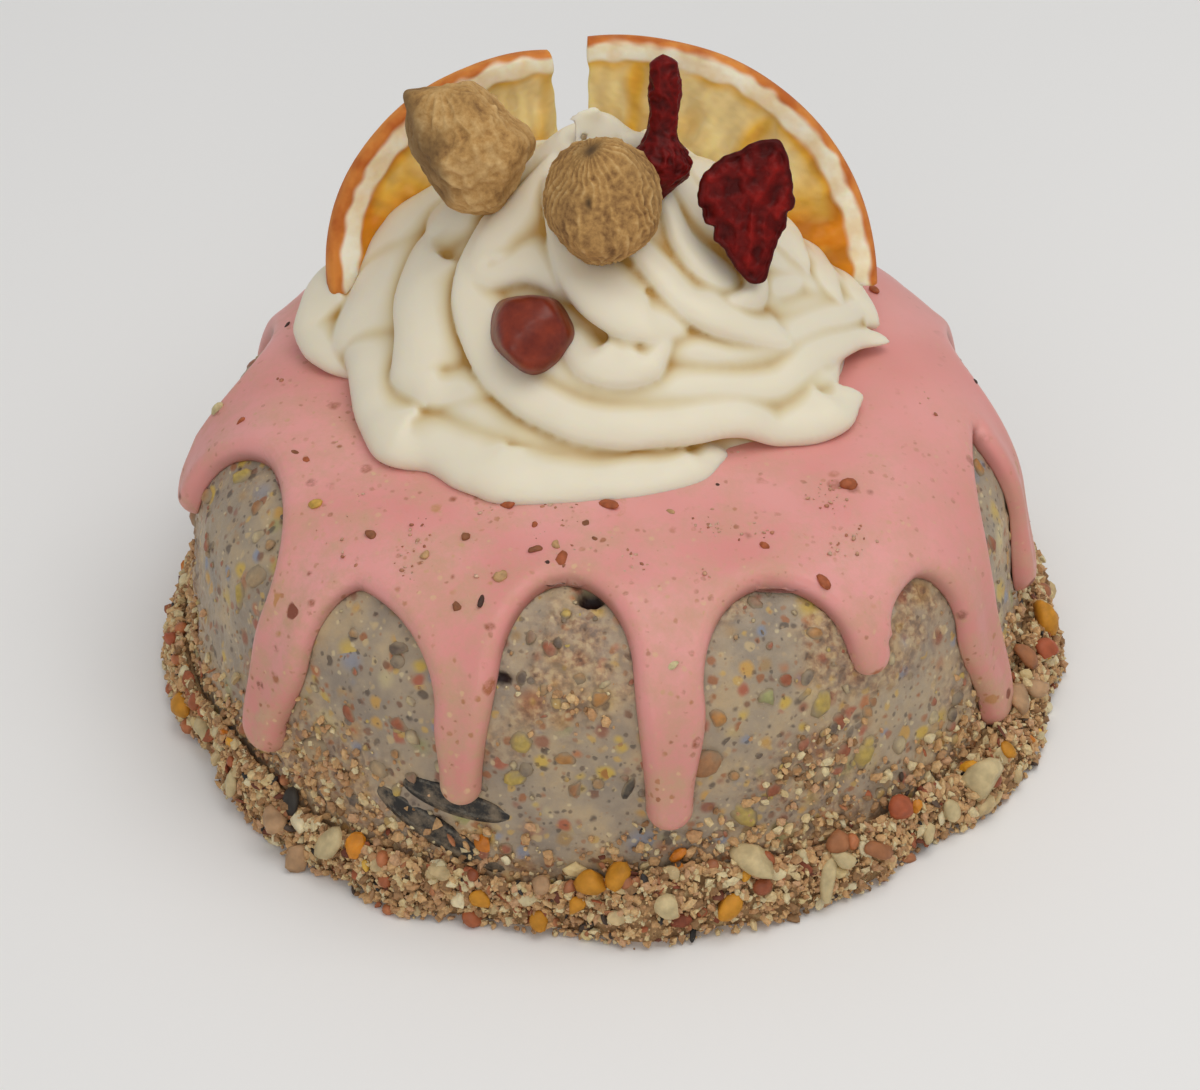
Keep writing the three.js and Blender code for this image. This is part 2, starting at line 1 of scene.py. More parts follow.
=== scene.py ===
"""A small drip cake for a garden-bird table, front towards -Y, in metres, +Z up, standing on z = 0.

It is built up as a baker would: the cake of seeds in hard fat, the poured pink icing, the collar of
crumbs round the foot, the piped cream, then the dried orange, nuts and berries set into the cream.
Azimuths are in degrees round the axis: 0 is the front, +90 the right-hand side. Sizes are in mm.
"""

import bmesh
import bpy
import numpy as np
from mathutils import Matrix


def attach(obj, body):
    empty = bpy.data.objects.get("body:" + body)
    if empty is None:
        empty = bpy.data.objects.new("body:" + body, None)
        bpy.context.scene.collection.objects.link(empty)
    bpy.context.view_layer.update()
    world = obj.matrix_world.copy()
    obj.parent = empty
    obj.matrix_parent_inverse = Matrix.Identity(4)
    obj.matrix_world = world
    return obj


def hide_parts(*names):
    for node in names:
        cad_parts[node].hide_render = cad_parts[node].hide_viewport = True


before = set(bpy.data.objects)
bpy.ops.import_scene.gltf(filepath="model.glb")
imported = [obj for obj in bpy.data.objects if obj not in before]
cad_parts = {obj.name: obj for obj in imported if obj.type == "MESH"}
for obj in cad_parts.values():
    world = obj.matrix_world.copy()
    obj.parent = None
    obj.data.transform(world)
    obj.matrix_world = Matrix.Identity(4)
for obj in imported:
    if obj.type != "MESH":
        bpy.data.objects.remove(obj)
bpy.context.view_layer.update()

# ---- the cake ----
# Cracked corn, seeds, nut meal and husks stirred into melted fat and turned out of a bowl once set.
# The fat is grey and half clear, so grains just under its skin show soft, and meal roughens it in
# patches. A few pits are open in it, the deepest in front under an arch of the icing, each painted near
# black as painted shade.
MM = 0.001
BASE_RADIUS = 64.7
FLARE = 0.12  # how much wider the side gets for each mm down
SHOULDER = 19.4  # radius of the rounded shoulder
HEIGHT = 50.1
CROWN = np.radians(8.5)  # how far the arc over the top turns before the shoulder takes over
MM_PER_DEGREE = 1.1  # round the lower side
FAT_SKIN_FROM = 42.0  # the skin is fine from this distance down, where the icing leaves it bare
SKIN_ROWS, SKIN_COLUMNS = 112, 700
# A rough patch of meal: azimuth and distance of its middle, its half-width and its half-height.
MEAL_PATCHES = [
    (-5, 56, 7, 9),
    (-42, 85, 13, 9),
    (-26, 91, 10, 5),
    (28, 79, 9, 6),
    (24, 91, 16, 4),
    (66, 90, 14, 8),
    (-88, 86, 12, 8),
]
# A pit: azimuth and distance of its middle, its half-height and its depth. It reaches PIT_STRETCH
# degrees to each side for each mm of its half-height.
PIT_STRETCH = 1.5
PITS = [(-2.6, 46.7, 1.7, 2.6), (-15, 60, 1.0, 1.1), (133, 62, 1.5, 1.8), (217, 55, 1.8, 2.2)]

slope = np.hypot(1, FLARE)
half_crown = np.tan(CROWN / 2)
shoulder_z = (HEIGHT - SHOULDER - half_crown * (BASE_RADIUS - SHOULDER * slope)) / (1 - half_crown * FLARE)
shoulder_r = BASE_RADIUS - FLARE * shoulder_z - SHOULDER * slope
crown_radius = SHOULDER + shoulder_r / np.sin(CROWN)
side_angle = np.pi / 2 - np.arctan(FLARE)
crown_length = crown_radius * CROWN
shoulder_length = SHOULDER * (side_angle - CROWN)
section_length = crown_length + shoulder_length + (shoulder_z + SHOULDER * np.cos(side_angle)) * slope


def on_cake(azimuth, distance, raised=0.0):
    """The point at an azimuth and at a distance down from the top's middle, raised off the cake.

    The section is a wide arc over the crown, a tight arc round the shoulder and a flared straight
    side, each starting in the direction in which the last one ends.
    """
    azimuth, distance, raised = np.broadcast_arrays(np.radians(azimuth), distance, raised)
    on_crown = np.minimum(distance, crown_length) / crown_radius
    turned = CROWN + np.clip(distance - crown_length, 0, shoulder_length) / SHOULDER
    down = np.maximum(0, distance - crown_length - shoulder_length) / slope
    crown_r = (crown_radius + raised) * np.sin(on_crown)
    crown_z = HEIGHT - crown_radius + (crown_radius + raised) * np.cos(on_crown)
    side_r = shoulder_r + (SHOULDER + raised) * np.sin(turned) + down * FLARE
    side_z = shoulder_z + (SHOULDER + raised) * np.cos(turned) - down
    r = np.where(distance < crown_length, crown_r, side_r)
    z = np.where(distance < crown_length, crown_z, side_z)
    return np.stack([r * np.sin(azimuth), -r * np.cos(azimuth), z], -1)


def in_meal_patch(azimuth, distance):
    """How far inside a rough patch each place is, 0 to 1: the highest of the patches' bell curves."""
    share = 0.0
    for at_azimuth, at_distance, wide, high in MEAL_PATCHES:
        around = ((azimuth - at_azimuth + 180) % 360 - 180) * MM_PER_DEGREE
        bell = np.exp(-((around / wide) ** 2) - ((distance - at_distance) / high) ** 2)
        share = np.maximum(share, bell)
    return share


def ripples(points, length, seed, count=20):
    """A smooth random field over points, mostly between -1 and 1.

    It adds plane waves of random heading and phase, with wavelengths round the length given.
    """
    rng = np.random.default_rng(seed)
    heading = rng.normal(size=(count, 3))
    heading /= np.linalg.norm(heading, axis=1)[:, None]
    waves = heading * (2 * np.pi / (length * rng.uniform(0.7, 1.6, count)))[:, None]
    total = np.sin(points @ waves.T + rng.uniform(0, 2 * np.pi, count)).sum(-1)
    return total / np.sqrt(count / 2) / 1.6


def quads(rows, columns, wrap=False):
    """The faces of a grid of points laid out row by row; wrap joins the last column to the first."""
    i = np.arange(rows - 1)[:, None] * columns
    j = np.arange(columns if wrap else columns - 1)[None]
    k = (j + 1) % columns
    return np.stack([i + j, i + k, i + columns + k, i + columns + j], -1).reshape(-1, 4)


def smoothstep(low, high, value):
    """0 below low, 1 above high, and an S-shaped rise between them."""
    t = np.clip((value - low) / (high - low), 0, 1)
    return t * t * (3 - 2 * t)


def piece(name, points, faces, material, slot, stands_for=(), flat=False, **attributes):
    """Makes a mesh of points in mm and faces, welds it, turns its faces out and fixes it to the cake.

    attributes are one number for each point, which the material reads by name.
    """
    mesh = bpy.data.meshes.new(name)
    mesh.from_pydata((np.asarray(points).reshape(-1, 3) * MM).tolist(), [], [f.tolist() for f in faces])
    for label, values in attributes.items():
        layer = mesh.attributes.new(label, "FLOAT", "POINT")
        layer.data.foreach_set("value", np.ascontiguousarray(values, np.float32).ravel())
    work = bmesh.new()
    work.from_mesh(mesh)
    bmesh.ops.remove_doubles(work, verts=work.verts, dist=2e-6)
    bmesh.ops.recalc_face_normals(work, faces=work.faces)
    work.to_mesh(mesh)
    work.free()
    mesh.polygons.foreach_set("use_smooth", np.full(len(mesh.polygons), not flat))
    mesh.materials.append(material)
    made = bpy.data.objects.new(name, mesh)
    bpy.context.scene.collection.objects.link(made)
    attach(made, "root")
    if stands_for:
        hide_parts(*stands_for)
    return made


def linear(colour):
    """An sRGB hex colour as linear red, green, blue and alpha."""
    srgb = np.array([int(colour[i : i + 2], 16) for i in (1, 3, 5)]) / 255
    return (*np.where(srgb < 0.04045, srgb / 12.92, ((srgb + 0.055) / 1.055) ** 2.4).tolist(), 1.0)


def add(tree, kind, sockets=None, stops=None, **settings):
    """Adds one node: settings are its own, sockets its inputs by name or number, stops a ramp's colours.

    An input takes a number, a hex colour or another node's output.
    """
    made = tree.nodes.new("ShaderNode" + kind)
    for key, value in settings.items():
        setattr(made, key, value)
    for key, value in (sockets or {}).items():
        if isinstance(value, bpy.types.NodeSocket):
            tree.links.new(value, made.inputs[key])
        else:
            made.inputs[key].default_value = linear(value) if isinstance(value, str) else value
    for i, (at, colour) in enumerate(stops or []):
        ramp = made.color_ramp.elements
        stop = ramp[i] if i < 2 else ramp.new(at)
        stop.position = at
        stop.color = linear(colour)
    return made


def finish_named(name):
    """A new material: its node tree, its coordinates in mm and its shader, ready for the rest."""
    material = bpy.data.materials.new(name)
    material.use_nodes = True
    tree = material.node_tree
    shader = tree.nodes["Principled BSDF"]
    place = add(tree, "TexCoord")
    in_mm = add(tree, "Mapping", {0: place.outputs["Object"], "Scale": (1000, 1000, 1000)})
    return material, tree, in_mm.outputs[0], shader


def specks(tree, where, size, share, soft, colours):
    """Specks scattered through the piece: a mask and a colour.

    Space is cut into cells of a size; a share of them hold one speck each, which reaches out to between
    0.12 and 0.62 of a cell, with an edge as soft as soft cells and a colour drawn from colours.
    """
    bend = add(tree, "TexNoise", {"Vector": where, "Scale": 1.3 / size, "Detail": 1.0})
    bent = add(tree, "MixRGB", {0: 0.5 * size, 1: where, 2: bend.outputs["Color"]}, blend_type="ADD")
    cells = add(tree, "TexVoronoi", {"Vector": bent.outputs[0], "Scale": 1 / size})
    chance = add(tree, "SeparateColor", {0: cells.outputs["Color"]})
    reach = add(tree, "MapRange", {0: chance.outputs[0], 1: 1 - share, 2: 1.0, 3: 0.12, 4: 0.62})
    inner = add(tree, "Math", {0: reach.outputs[0], 1: soft}, operation="SUBTRACT")
    mask = add(
        tree,
        "MapRange",
        {0: cells.outputs["Distance"], 1: inner.outputs[0], 2: reach.outputs[0], 3: 1.0, 4: 0.0},
        interpolation_type="SMOOTHSTEP",
    )
    drawn = add(tree, "Math", {0: chance.outputs[0], 1: 1 - share}, operation="GREATER_THAN")
    mask = add(tree, "Math", {0: mask.outputs[0], 1: drawn.outputs[0]}, operation="MULTIPLY")
    stops = [(i / len(colours), colour) for i, colour in enumerate(colours)]
    tint = add(tree, "ValToRGB", {0: chance.outputs[1]}, stops=stops)
    tint.color_ramp.interpolation = "CONSTANT"
    return mask.outputs[0], tint.outputs[0]


# Rendered beef fat or suet, cast: waxy, grey, clouded, with a dull shine. Grains under the skin are
# veiled by it, so their edges are soft and their colours are toned towards the grey.
seeded_fat, tree, where, shader = finish_named("cast_suet_with_seeds")
cloud = add(tree, "TexNoise", {"Vector": where, "Scale": 1 / 9, "Detail": 4.0, "Roughness": 0.6})
fat = add(
    tree,
    "ValToRGB",
    {0: cloud.outputs[0]},
    stops=[(0.32, "#948676"), (0.68, "#c1a882"), (0.5, "#aa9880")],
)
colour = fat.outputs[0]
for size, share, soft, opacity, colours in (
    (5.0, 0.95, 0.42, 0.8, ("#cfae46", "#b98e58", "#9a9a5c", "#a9683c", "#8b8c96", "#d0bf8c", "#b58842")),
    (2.9, 0.75, 0.32, 0.8, ("#bd6c34", "#d1ae40", "#8f4f38", "#cc9c45", "#a58455", "#ae5236", "#8891a4")),
    (1.7, 0.7, 0.28, 0.75, ("#7a4d35", "#9f5c2c", "#cba556", "#4e4036", "#c8ae80")),
    (0.9, 0.65, 0.3, 0.6, ("#553f30", "#d8c59a", "#3c342e", "#a36c42", "#b89e7c")),
):
    mask, tint = specks(tree, where, size, share, soft, colours)
    strength = add(tree, "Math", {0: mask, 1: opacity}, operation="MULTIPLY")
    colour = add(tree, "MixRGB", {0: strength.outputs[0], 1: colour, 2: tint}).outputs[0]
meal = add(tree, "Attribute", attribute_name="meal")
crumb = add(tree, "TexNoise", {"Vector": where, "Scale": 1 / 1.1, "Detail": 3.0})
meal_colour = add(
    tree,
    "ValToRGB",
    {0: crumb.outputs[0]},
    stops=[(0.36, "#6d4c36"), (0.62, "#c9ab80"), (0.5, "#a87f5c")],
)
meal_share = add(tree, "Math", {0: meal.outputs["Fac"], 1: 0.65}, operation="MULTIPLY")
colour = add(tree, "MixRGB", {0: meal_share.outputs[0], 1: colour, 2: meal_colour.outputs[0]}).outputs[0]
# Painted shade: the pits are painted near black, for the shade that fills them.
pit = add(tree, "Attribute", attribute_name="pit")
colour = add(tree, "MixRGB", {0: pit.outputs["Fac"], 1: colour, 2: "#2a120c"}).outputs[0]
tree.links.new(colour, shader.inputs["Base Color"])
grit = add(tree, "TexNoise", {"Vector": where, "Scale": 1 / 0.6, "Detail": 4.0, "Roughness": 0.7})
rough = add(tree, "MapRange", {0: grit.outputs[0], 1: 0.3, 2: 0.7, 3: 0.32, 4: 0.6})
tree.links.new(rough.outputs[0], shader.inputs["Roughness"])
bump = add(tree, "Bump", {"Height": grit.outputs[0], "Strength": 0.5, "Distance": 0.0003})
tree.links.new(bump.outputs[0], shader.inputs["Normal"])
shader.inputs["IOR"].default_value = 1.45
shader.inputs["Subsurface Weight"].default_value = 0.3
shader.inputs["Subsurface Radius"].default_value = (1.0, 0.8, 0.55)
shader.inputs["Subsurface Scale"].default_value = 0.002

azimuth = np.arange(SKIN_COLUMNS)[None] * 360 / SKIN_COLUMNS
under_icing = [0, 22, 36]
distance = np.concatenate([under_icing, np.linspace(FAT_SKIN_FROM, section_length, SKIN_ROWS)])[:, None]
skin = on_cake(azimuth, distance)
meal = np.maximum(in_meal_patch(azimuth, distance), 0.8 * smoothstep(0.25, 0.9, ripples(skin, 24, 4)))
meal = np.clip(meal * (1 + 0.5 * ripples(skin, 3, 5)), 0, 1)
# How much painted shade each pit gets, strongest at its middle.
pit = np.zeros(skin.shape[:2])
deep = np.zeros(skin.shape[:2])
for at_azimuth, at_distance, size, depth in PITS:
    around = ((azimuth - at_azimuth + 180) % 360 - 180) / PIT_STRETCH
    hole = np.exp(-((around**2 + (distance - at_distance) ** 2) / size**2) ** 2)
    pit = np.maximum(pit, smoothstep(0.25, 0.8, hole))
    deep = deep + depth * hole
raised = 0.16 * ripples(skin, 5, 1) + 0.1 * ripples(skin, 2.2, 2)
raised = raised + meal * (0.22 * ripples(skin, 2.0, 6) + 0.22 * ripples(skin, 1.2, 3) + 0.12) - deep
held = smoothstep(section_length, section_length - 3, distance)
skin = on_cake(azimuth, distance, raised * held)
rows, columns = skin.shape[:2]
faces = list(quads(rows, columns, wrap=True))
underneath = [np.array([(rows - 1) * columns + j for j in range(columns)])]
piece(
    "seed_and_fat_cake",
    skin,
    faces + underneath,
    seeded_fat,
    "seeded_fat",
    stands_for=["cake_body"],
    meal=meal,
    pit=pit,
)

# ---- grains in and on the cake ----
# Whole and broken grains that the fat holds: cracked corn, red-brown millet and hulls stand a little
# out of the skin, most of them on their sides. Each is a small lump with its own cuts and colour.
BALLS = {}
for fineness in (1, 2):
    work = bmesh.new()
    bmesh.ops.create_icosphere(work, subdivisions=fineness, radius=1.0)
    corners = np.array([v.co[:] for v in work.verts])
    BALLS[fineness] = (corners, np.array([[v.index for v in f.verts] for f in work.faces]))
    work.free()


def lumps(centres, normals, sizes, seed, fineness=1, cuts=3, tilt=0.5, sink=0.3, dent=0.0):
    """Many small lumps lying on a surface: their points, faces and a tint from 0 to 1 for each.

    Each is a ball trimmed by random planes to leave broken faces, drawn out to its length, width and
    thickness, laid with its thin way along the surface's normal but for a random tilt, and sunk.
    """
    rng = np.random.default_rng(seed)
    ball, triangles = BALLS[fineness]
    count = len(centres)
    shape = np.repeat(ball[None], count, 0)
    for _ in range(cuts):
        facing = rng.normal(size=(count, 1, 3))
        facing /= np.linalg.norm(facing, axis=2, keepdims=True)
        over = (shape * facing).sum(2, keepdims=True) - rng.uniform(0.5, 0.85, (count, 1, 1))
        shape = shape - np.maximum(0, over) * facing
    if dent:
        wave = rng.normal(size=(count, 3, 3)) * 2.2
        wobble = np.sin(shape @ wave + rng.uniform(0, 6.28, (count, 1, 3))).sum(2, keepdims=True)
        shape = shape * (1 + dent * wobble)
    shape = shape * sizes[:, None] / 2
    up = normals + tilt * rng.normal(size=(count, 3))
    up /= np.linalg.norm(up, axis=1)[:, None]
    side = np.cross(up, rng.normal(size=(count, 3)))
    side /= np.linalg.norm(side, axis=1)[:, None]
    turn = np.stack([side, np.cross(up, side), up], 1)
    middle = centres + normals * (0.5 - sink) * sizes[:, 2:]
    points = (shape @ turn + middle[:, None]).reshape(-1, 3)
    faces = (triangles[None] + np.arange(count)[:, None, None] * len(ball)).reshape(-1, 3)
    return points, faces, np.repeat(rng.random(count), len(ball))


def tint_of(kind, kinds):
    """Each point's tint on finely cut lumps: the middle of its kind's step among the colours."""
    return np.repeat((kind + 0.5) / kinds, len(BALLS[2][0]))


def normal_on_cake(azimuth, distance):
    """The direction straight out of the cake there, from the point on it to one raised by 1 mm."""
    return on_cake(azimuth, distance, 1.0) - on_cake(azimuth, distance)


def standing_out(points, azimuth, distance):
    """How far each lump's points stand out of the cake, as a share of the lump's farthest point."""
    reach = points.reshape(len(azimuth), -1, 3) - on_cake(azimuth, distance)[:, None]
    reach = (reach * normal_on_cake(azimuth, distance)[:, None]).sum(2)
    return reach / np.maximum(reach.max(1, keepdims=True), 0.05)


def drawn_sizes(rng, count, smallest, largest, width, thickness):
    """Lengths, widths and thicknesses: mostly near the smallest; width and thickness are shares."""
    length = smallest + (largest - smallest) * rng.random(count) ** 2
    ratio = rng.uniform(0.85, 1.15, (2, count))
    return np.stack([length, length * width * ratio[0], length * thickness * ratio[1]], -1)


# Dry grain and broken nut: matt, each piece of one colour with darker and paler mottling, and a veil
# of fat over what the cake still holds.
def dry_grain(name, colours, roughness=0.7, mottle=1.2, shine=0.3, veil=None):
    """A dry grain's material: a colour for each piece by its tint, mottled at a size in mm.

    veil is the colour of the fat that has crept over the grain's low parts, by its attribute veiled.
    """
    material, tree, where, shader = finish_named(name)
    tint = add(tree, "Attribute", attribute_name="tint")
    stops = [(i / len(colours), colour) for i, colour in enumerate(colours)]
    drawn = add(tree, "ValToRGB", {0: tint.outputs["Fac"]}, stops=stops)
    drawn.color_ramp.interpolation = "CONSTANT"
    spots = add(tree, "TexNoise", {"Vector": where, "Scale": 1 / mottle, "Detail": 3.0})
    shade = add(tree, "MapRange", {0: spots.outputs[0], 1: 0.3, 2: 0.7, 3: 0.72, 4: 1.12})
    mixed = add(tree, "VectorMath", {0: drawn.outputs[0], "Scale": shade.outputs[0]}, operation="SCALE")
    if veil:
        low = add(tree, "Attribute", attribute_name="veiled")
        patchy = add(tree, "TexNoise", {"Vector": where, "Scale": 1 / 1.6, "Detail": 3.0})
        over = add(tree, "Math", {0: low.outputs["Fac"], 1: patchy.outputs[0]}, operation="ADD")
        share = add(tree, "MapRange", {0: over.outputs[0], 1: 0.5, 2: 1.3, 3: 0.05, 4: 0.9})
        mixed = add(tree, "MixRGB", {0: share.outputs[0], 1: mixed.outputs[0], 2: veil})
    tree.links.new(mixed.outputs[0], shader.inputs["Base Color"])
    bump = add(tree, "Bump", {"Height": spots.outputs[0], "Strength": 0.4, "Distance": 0.0003})
    tree.links.new(bump.outputs[0], shader.inputs["Normal"])
    shader.inputs["Roughness"].default_value = roughness
    shader.inputs["IOR"].default_value = 1.45
    shader.inputs["Specular IOR Level"].default_value = shine
    shader.inputs["Subsurface Weight"].default_value = 0.12
    shader.inputs["Subsurface Radius"].default_value = (1.0, 0.6, 0.35)
    shader.inputs["Subsurface Scale"].default_value = 0.0012
    return material


meal_grain = dry_grain(
    "ground_nut_meal",
    ("#d8b482", "#caa070", "#dcc392", "#c09468", "#d4aa78", "#dfcca0", "#b28a62", "#cda27a", "#96724e"),
    mottle=0.5,
)
veiled_grain = dry_grain(
    "grains_greased_with_fat",
    ("#b08a5e", "#bf9c5c", "#936f56", "#a35f42", "#c4b087", "#80705f", "#b58450", "#c4a656", "#665548"),
    roughness=0.5,
    mottle=0.8,
    shine=0.5,
    veil="#96856c",
)
rng = np.random.default_rng(11)
count = 1800
azimuth = rng.uniform(-180, 180, count)
distance = rng.uniform(47, 97, count)
kept = rng.random(count) < 0.35 + in_meal_patch(azimuth, distance)
azimuth, distance = azimuth[kept], distance[kept]
points, faces, tint = lumps(
    on_cake(azimuth, distance),
    normal_on_cake(azimuth, distance),
    drawn_sizes(rng, len(azimuth), 0.8, 3.4, 0.78, 0.5),
    seed=12,
    fineness=2,
    cuts=3,
    tilt=0.25,
    sink=0.62,
    dent=0.06,
)
lift = standing_out(points, azimuth, distance)
piece(
    "grains_in_the_fat",
    points,
    faces,
    veiled_grain,
    "seeded_fat",
    tint=tint,
    veiled=1 - smoothstep(0.1, 0.9, lift),
)

# Meal rubbed on the rough patches, dry and standing out of the fat.
rng = np.random.default_rng(16)
count = 26000
azimuth = rng.uniform(-180, 180, count)
distance = rng.uniform(60, 97, count)
kept = rng.random(count) < 0.8 * in_meal_patch(azimuth, distance) ** 1.7
azimuth, distance = azimuth[kept], distance[kept]
points, faces, tint = lumps(
    on_cake(azimuth, distance),
    normal_on_cake(azimuth, distance),
    drawn_sizes(rng, len(azimuth), 0.5, 2.0, 0.8, 0.6),
    seed=17,
    cuts=1,
    tilt=0.6,
    sink=0.2,
    dent=0.15,
)
piece("meal_stuck_to_the_side", points, faces, meal_grain, "seeded_fat", flat=True, tint=tint)

# The larger grains in plain view. Each: azimuth, distance, length, width, and which of the colours:
# 0 yellow corn, 1 red millet, 2 brown grain, 3 tan nut, 4 orange corn, 5 green split pea, 6 dark hull.
PLAIN_GRAINS = [
    (13, 73.8, 5.6, 4.8, 2), (36, 81.2, 5.6, 5, 0), (17.5, 83.2, 6, 3, 0), (32.5, 78.5, 3.4, 3, 1),
    (22, 80.2, 3.2, 2.6, 1), (29, 80.6, 4, 3.4, 3), (14.5, 66.5, 3.4, 3, 4), (32, 73, 3.4, 2.6, 1),
    (29.5, 68.5, 4.6, 3.6, 0), (22, 65, 3.2, 2.8, 5), (25, 63.5, 2.2, 2, 1), (38, 72.5, 2.8, 2.4, 2),
    (-37, 72.5, 3.8, 2.2, 1), (-29.5, 70.2, 4.2, 2.8, 1), (-32, 79.5, 3.4, 3.2, 3),
    (-42.5, 81.5, 6.5, 4.5, 3), (-11.5, 69, 4, 3.6, 0), (-12.5, 75.2, 4.2, 2.8, 0),
    (-6, 71.2, 3.4, 2.4, 4), (-4.5, 76.2, 3.2, 3, 2), (-1, 61.5, 3.4, 2.6, 4), (2.5, 76, 4.4, 1.7, 6),
    (-69, 55.5, 2.8, 2.4, 2), (-78, 56, 4, 3, 0), (-60, 62, 4.6, 3.6, 3), (-62, 67, 4.4, 3.6, 0),
    (-57, 74, 3.2, 2.6, 3), (79, 58.5, 3.6, 3, 4), (70.5, 66.5, 3, 2.2, 1), (-90, 73.8, 6, 4.8, 2),
    (150, 84, 5, 4, 0), (196, 72, 4.4, 3.6, 1), (222, 70, 5, 4.4, 3), (110, 74, 4.6, 3.8, 0),
]  # fmt: skip
plain_grain = dry_grain(
    "whole_grains_at_the_skin",
    ("#bda252", "#9c5638", "#a4744c", "#ad9370", "#b57f42", "#9c9c66", "#3a3632"),
    roughness=0.55,
    mottle=1.1,
    shine=0.4,
    veil="#96856c",
)
azimuth, distance, length, width, kind = np.array(PLAIN_GRAINS).T
points, faces, _ = lumps(
    on_cake(azimuth, distance),
    normal_on_cake(azimuth, distance),
    np.stack([length, width, width * 0.75], -1),
    seed=14,
    fineness=2,
    cuts=2,
    tilt=0.15,
    sink=0.66,
    dent=0.09,
)
lift = standing_out(points, azimuth, distance)
veiled = 1 - smoothstep(0.05, 0.7, lift)
piece(
    "plain_grains", points, faces, plain_grain, "seeded_fat", tint=tint_of(kind, 7), veiled=veiled
)

# Striped sunflower seeds pressed flat into the foot: black hulls with grey-white stripes along them.
# Each runs from one point of the cake to another: azimuth and distance of both ends, and its width.
SUNFLOWER_SEEDS = [(-28.5, 80, -13, 82.4, 4.8), (-32.5, 82.8, -13.5, 92, 4.8), (171, 80, 163, 91, 5)]
SEED_SINK = 0.25
SEED_THICKNESS = 0.42  # a share of the width
SEED_STRIPES = 5
SEED_STEPS, SEED_SIDES = 41, 28

# A dry woody hull: black between worn grey stripes, split along its fibres, and dulled where greasy.
hull, tree, where, shader = finish_named("striped_sunflower_hull")
stripe = add(tree, "Attribute", attribute_name="stripe")
fray = add(tree, "TexNoise", {"Vector": where, "Scale": 1 / 0.8, "Detail": 5.0, "Roughness": 0.7})
frayed = add(tree, "MixRGB", {0: 0.5, 1: stripe.outputs["Fac"], 2: fray.outputs[0]})
drawn = add(
    tree,
    "ValToRGB",
    {0: frayed.outputs[0]},
    stops=[(0.52, "#17140f"), (0.84, "#7a7466"), (0.67, "#2b2722")],
)
greased = add(tree, "TexNoise", {"Vector": where, "Scale": 1 / 2.6, "Detail": 4.0, "Roughness": 0.7})
film = add(tree, "MapRange", {0: greased.outputs[0], 1: 0.45, 2: 0.68, 3: 0.0, 4: 0.8})
greasy = add(tree, "MixRGB", {0: film.outputs[0], 1: drawn.outputs[0], 2: "#8a7860"})
tree.links.new(greasy.outputs[0], shader.inputs["Base Color"])
shader.inputs["Roughness"].default_value = 0.5
bump = add(tree, "Bump", {"Height": fray.outputs[0], "Strength": 0.6, "Distance": 0.0004})
tree.links.new(bump.outputs[0], shader.inputs["Normal"])

along = np.linspace(0, 1, SEED_STEPS)[:, None]
around = np.linspace(0, 2 * np.pi, SEED_SIDES, endpoint=False)[None]
points, stripes, faces = [], [], []
for from_azimuth, from_distance, to_azimuth, to_distance, width in SUNFLOWER_SEEDS:
    # A drop: its half-width rises quickly from the blunt end and falls slowly to the point.
    half = width / 2 * np.sin(np.pi * along**0.85) ** 0.45
    centre_azimuth = from_azimuth + (to_azimuth - from_azimuth) * along
    centre_distance = from_distance + (to_distance - from_distance) * along
    middle = on_cake(centre_azimuth, centre_distance, -SEED_SINK)
    outward = on_cake(centre_azimuth, centre_distance, 1 - SEED_SINK) - middle
    run = np.gradient(middle[:, 0], axis=0)[:, None]
    across = np.cross(run, outward)
    across /= np.linalg.norm(across, axis=-1)[..., None]
    thick = SEED_THICKNESS * half * np.sin(around)
    points.append(middle + across * (half * np.cos(around))[..., None] + outward * thick[..., None])
    stripes.append((0.5 + 0.5 * np.cos(SEED_STRIPES * around) + 0 * along).ravel())
    faces.append(quads(SEED_STEPS, SEED_SIDES, wrap=True) + SEED_STEPS * SEED_SIDES * len(faces))
points = np.concatenate([p.reshape(-1, 3) for p in points])
piece(
    "sunflower_seeds",
    points,
    np.concatenate(faces),
    hull,
    "seeded_fat",
    stripe=np.concatenate(stripes),
)

# ---- poured icing ----
# Pink candy coating poured warm over the top. It ran down in drips between high arches and set with
# a thick round edge, a little fuller at each drip's end. Meal dust and a few grains stuck to it.
# A drip: azimuth of its root and of its tip, distance of its tip, widths at its neck and at its tip;
# then azimuth and top of the arch that follows it.
DRIPS = [
    (-90, -88.5, 71, 14, 10, -72, 50.6),
    (-49.7, -52.2, 87, 11.4, 8.6, -40, 54),
    (-19.6, -19.8, 80.6, 9.3, 6.4, -7, 45),
    (8.4, 7.7, 83.2, 10.8, 7, 25, 50),
    (38.8, 38.3, 67.6, 8.2, 6.8, 50, 59),
    (60.4, 63.6, 93.4, 10.4, 8.2, 84, 55.8),
    (86, 82.5, 84, 11, 9, 104, 56),
    (123, 122, 86, 12.4, 8.4, 138, 57),
    (151, 150, 72, 11, 7.6, 165, 52),
    (178, 178, 90, 12.6, 9, 192, 57),
    (204, 204, 75, 11.4, 7.4, 219, 50),
    (234, 233, 88, 12.4, 8.8, 251, 54),
]
ICING_UNDERSIDE = 0.15
ICING_THICKNESS = 2.25
ICING_EDGE = 2.2  # width of the round edge
BEAD, BEAD_FROM_EDGE, BEAD_WIDTH = 0.22, 2.4, 1.7  # the fuller line just inside the round edge
TIP_SWELL, TIP_SWELL_RADIUS, TIP_SWELL_UP = 0.6, 6.5, 4.0  # the fuller end of each drip
NECK_DROP, NECK_SHARE = 13.0, 0.85  # a neck is this far below its arch, or at this share of a short drip
ARCH_SHARE = 0.42  # of a drip's side, the quarter ellipse under its arch ends here
TIP_SHARE = 0.78  # and the quarter circle round its tip starts here
SECTOR_COLUMNS, CAP_ROWS, DRIP_ROWS = 35, 23, 57


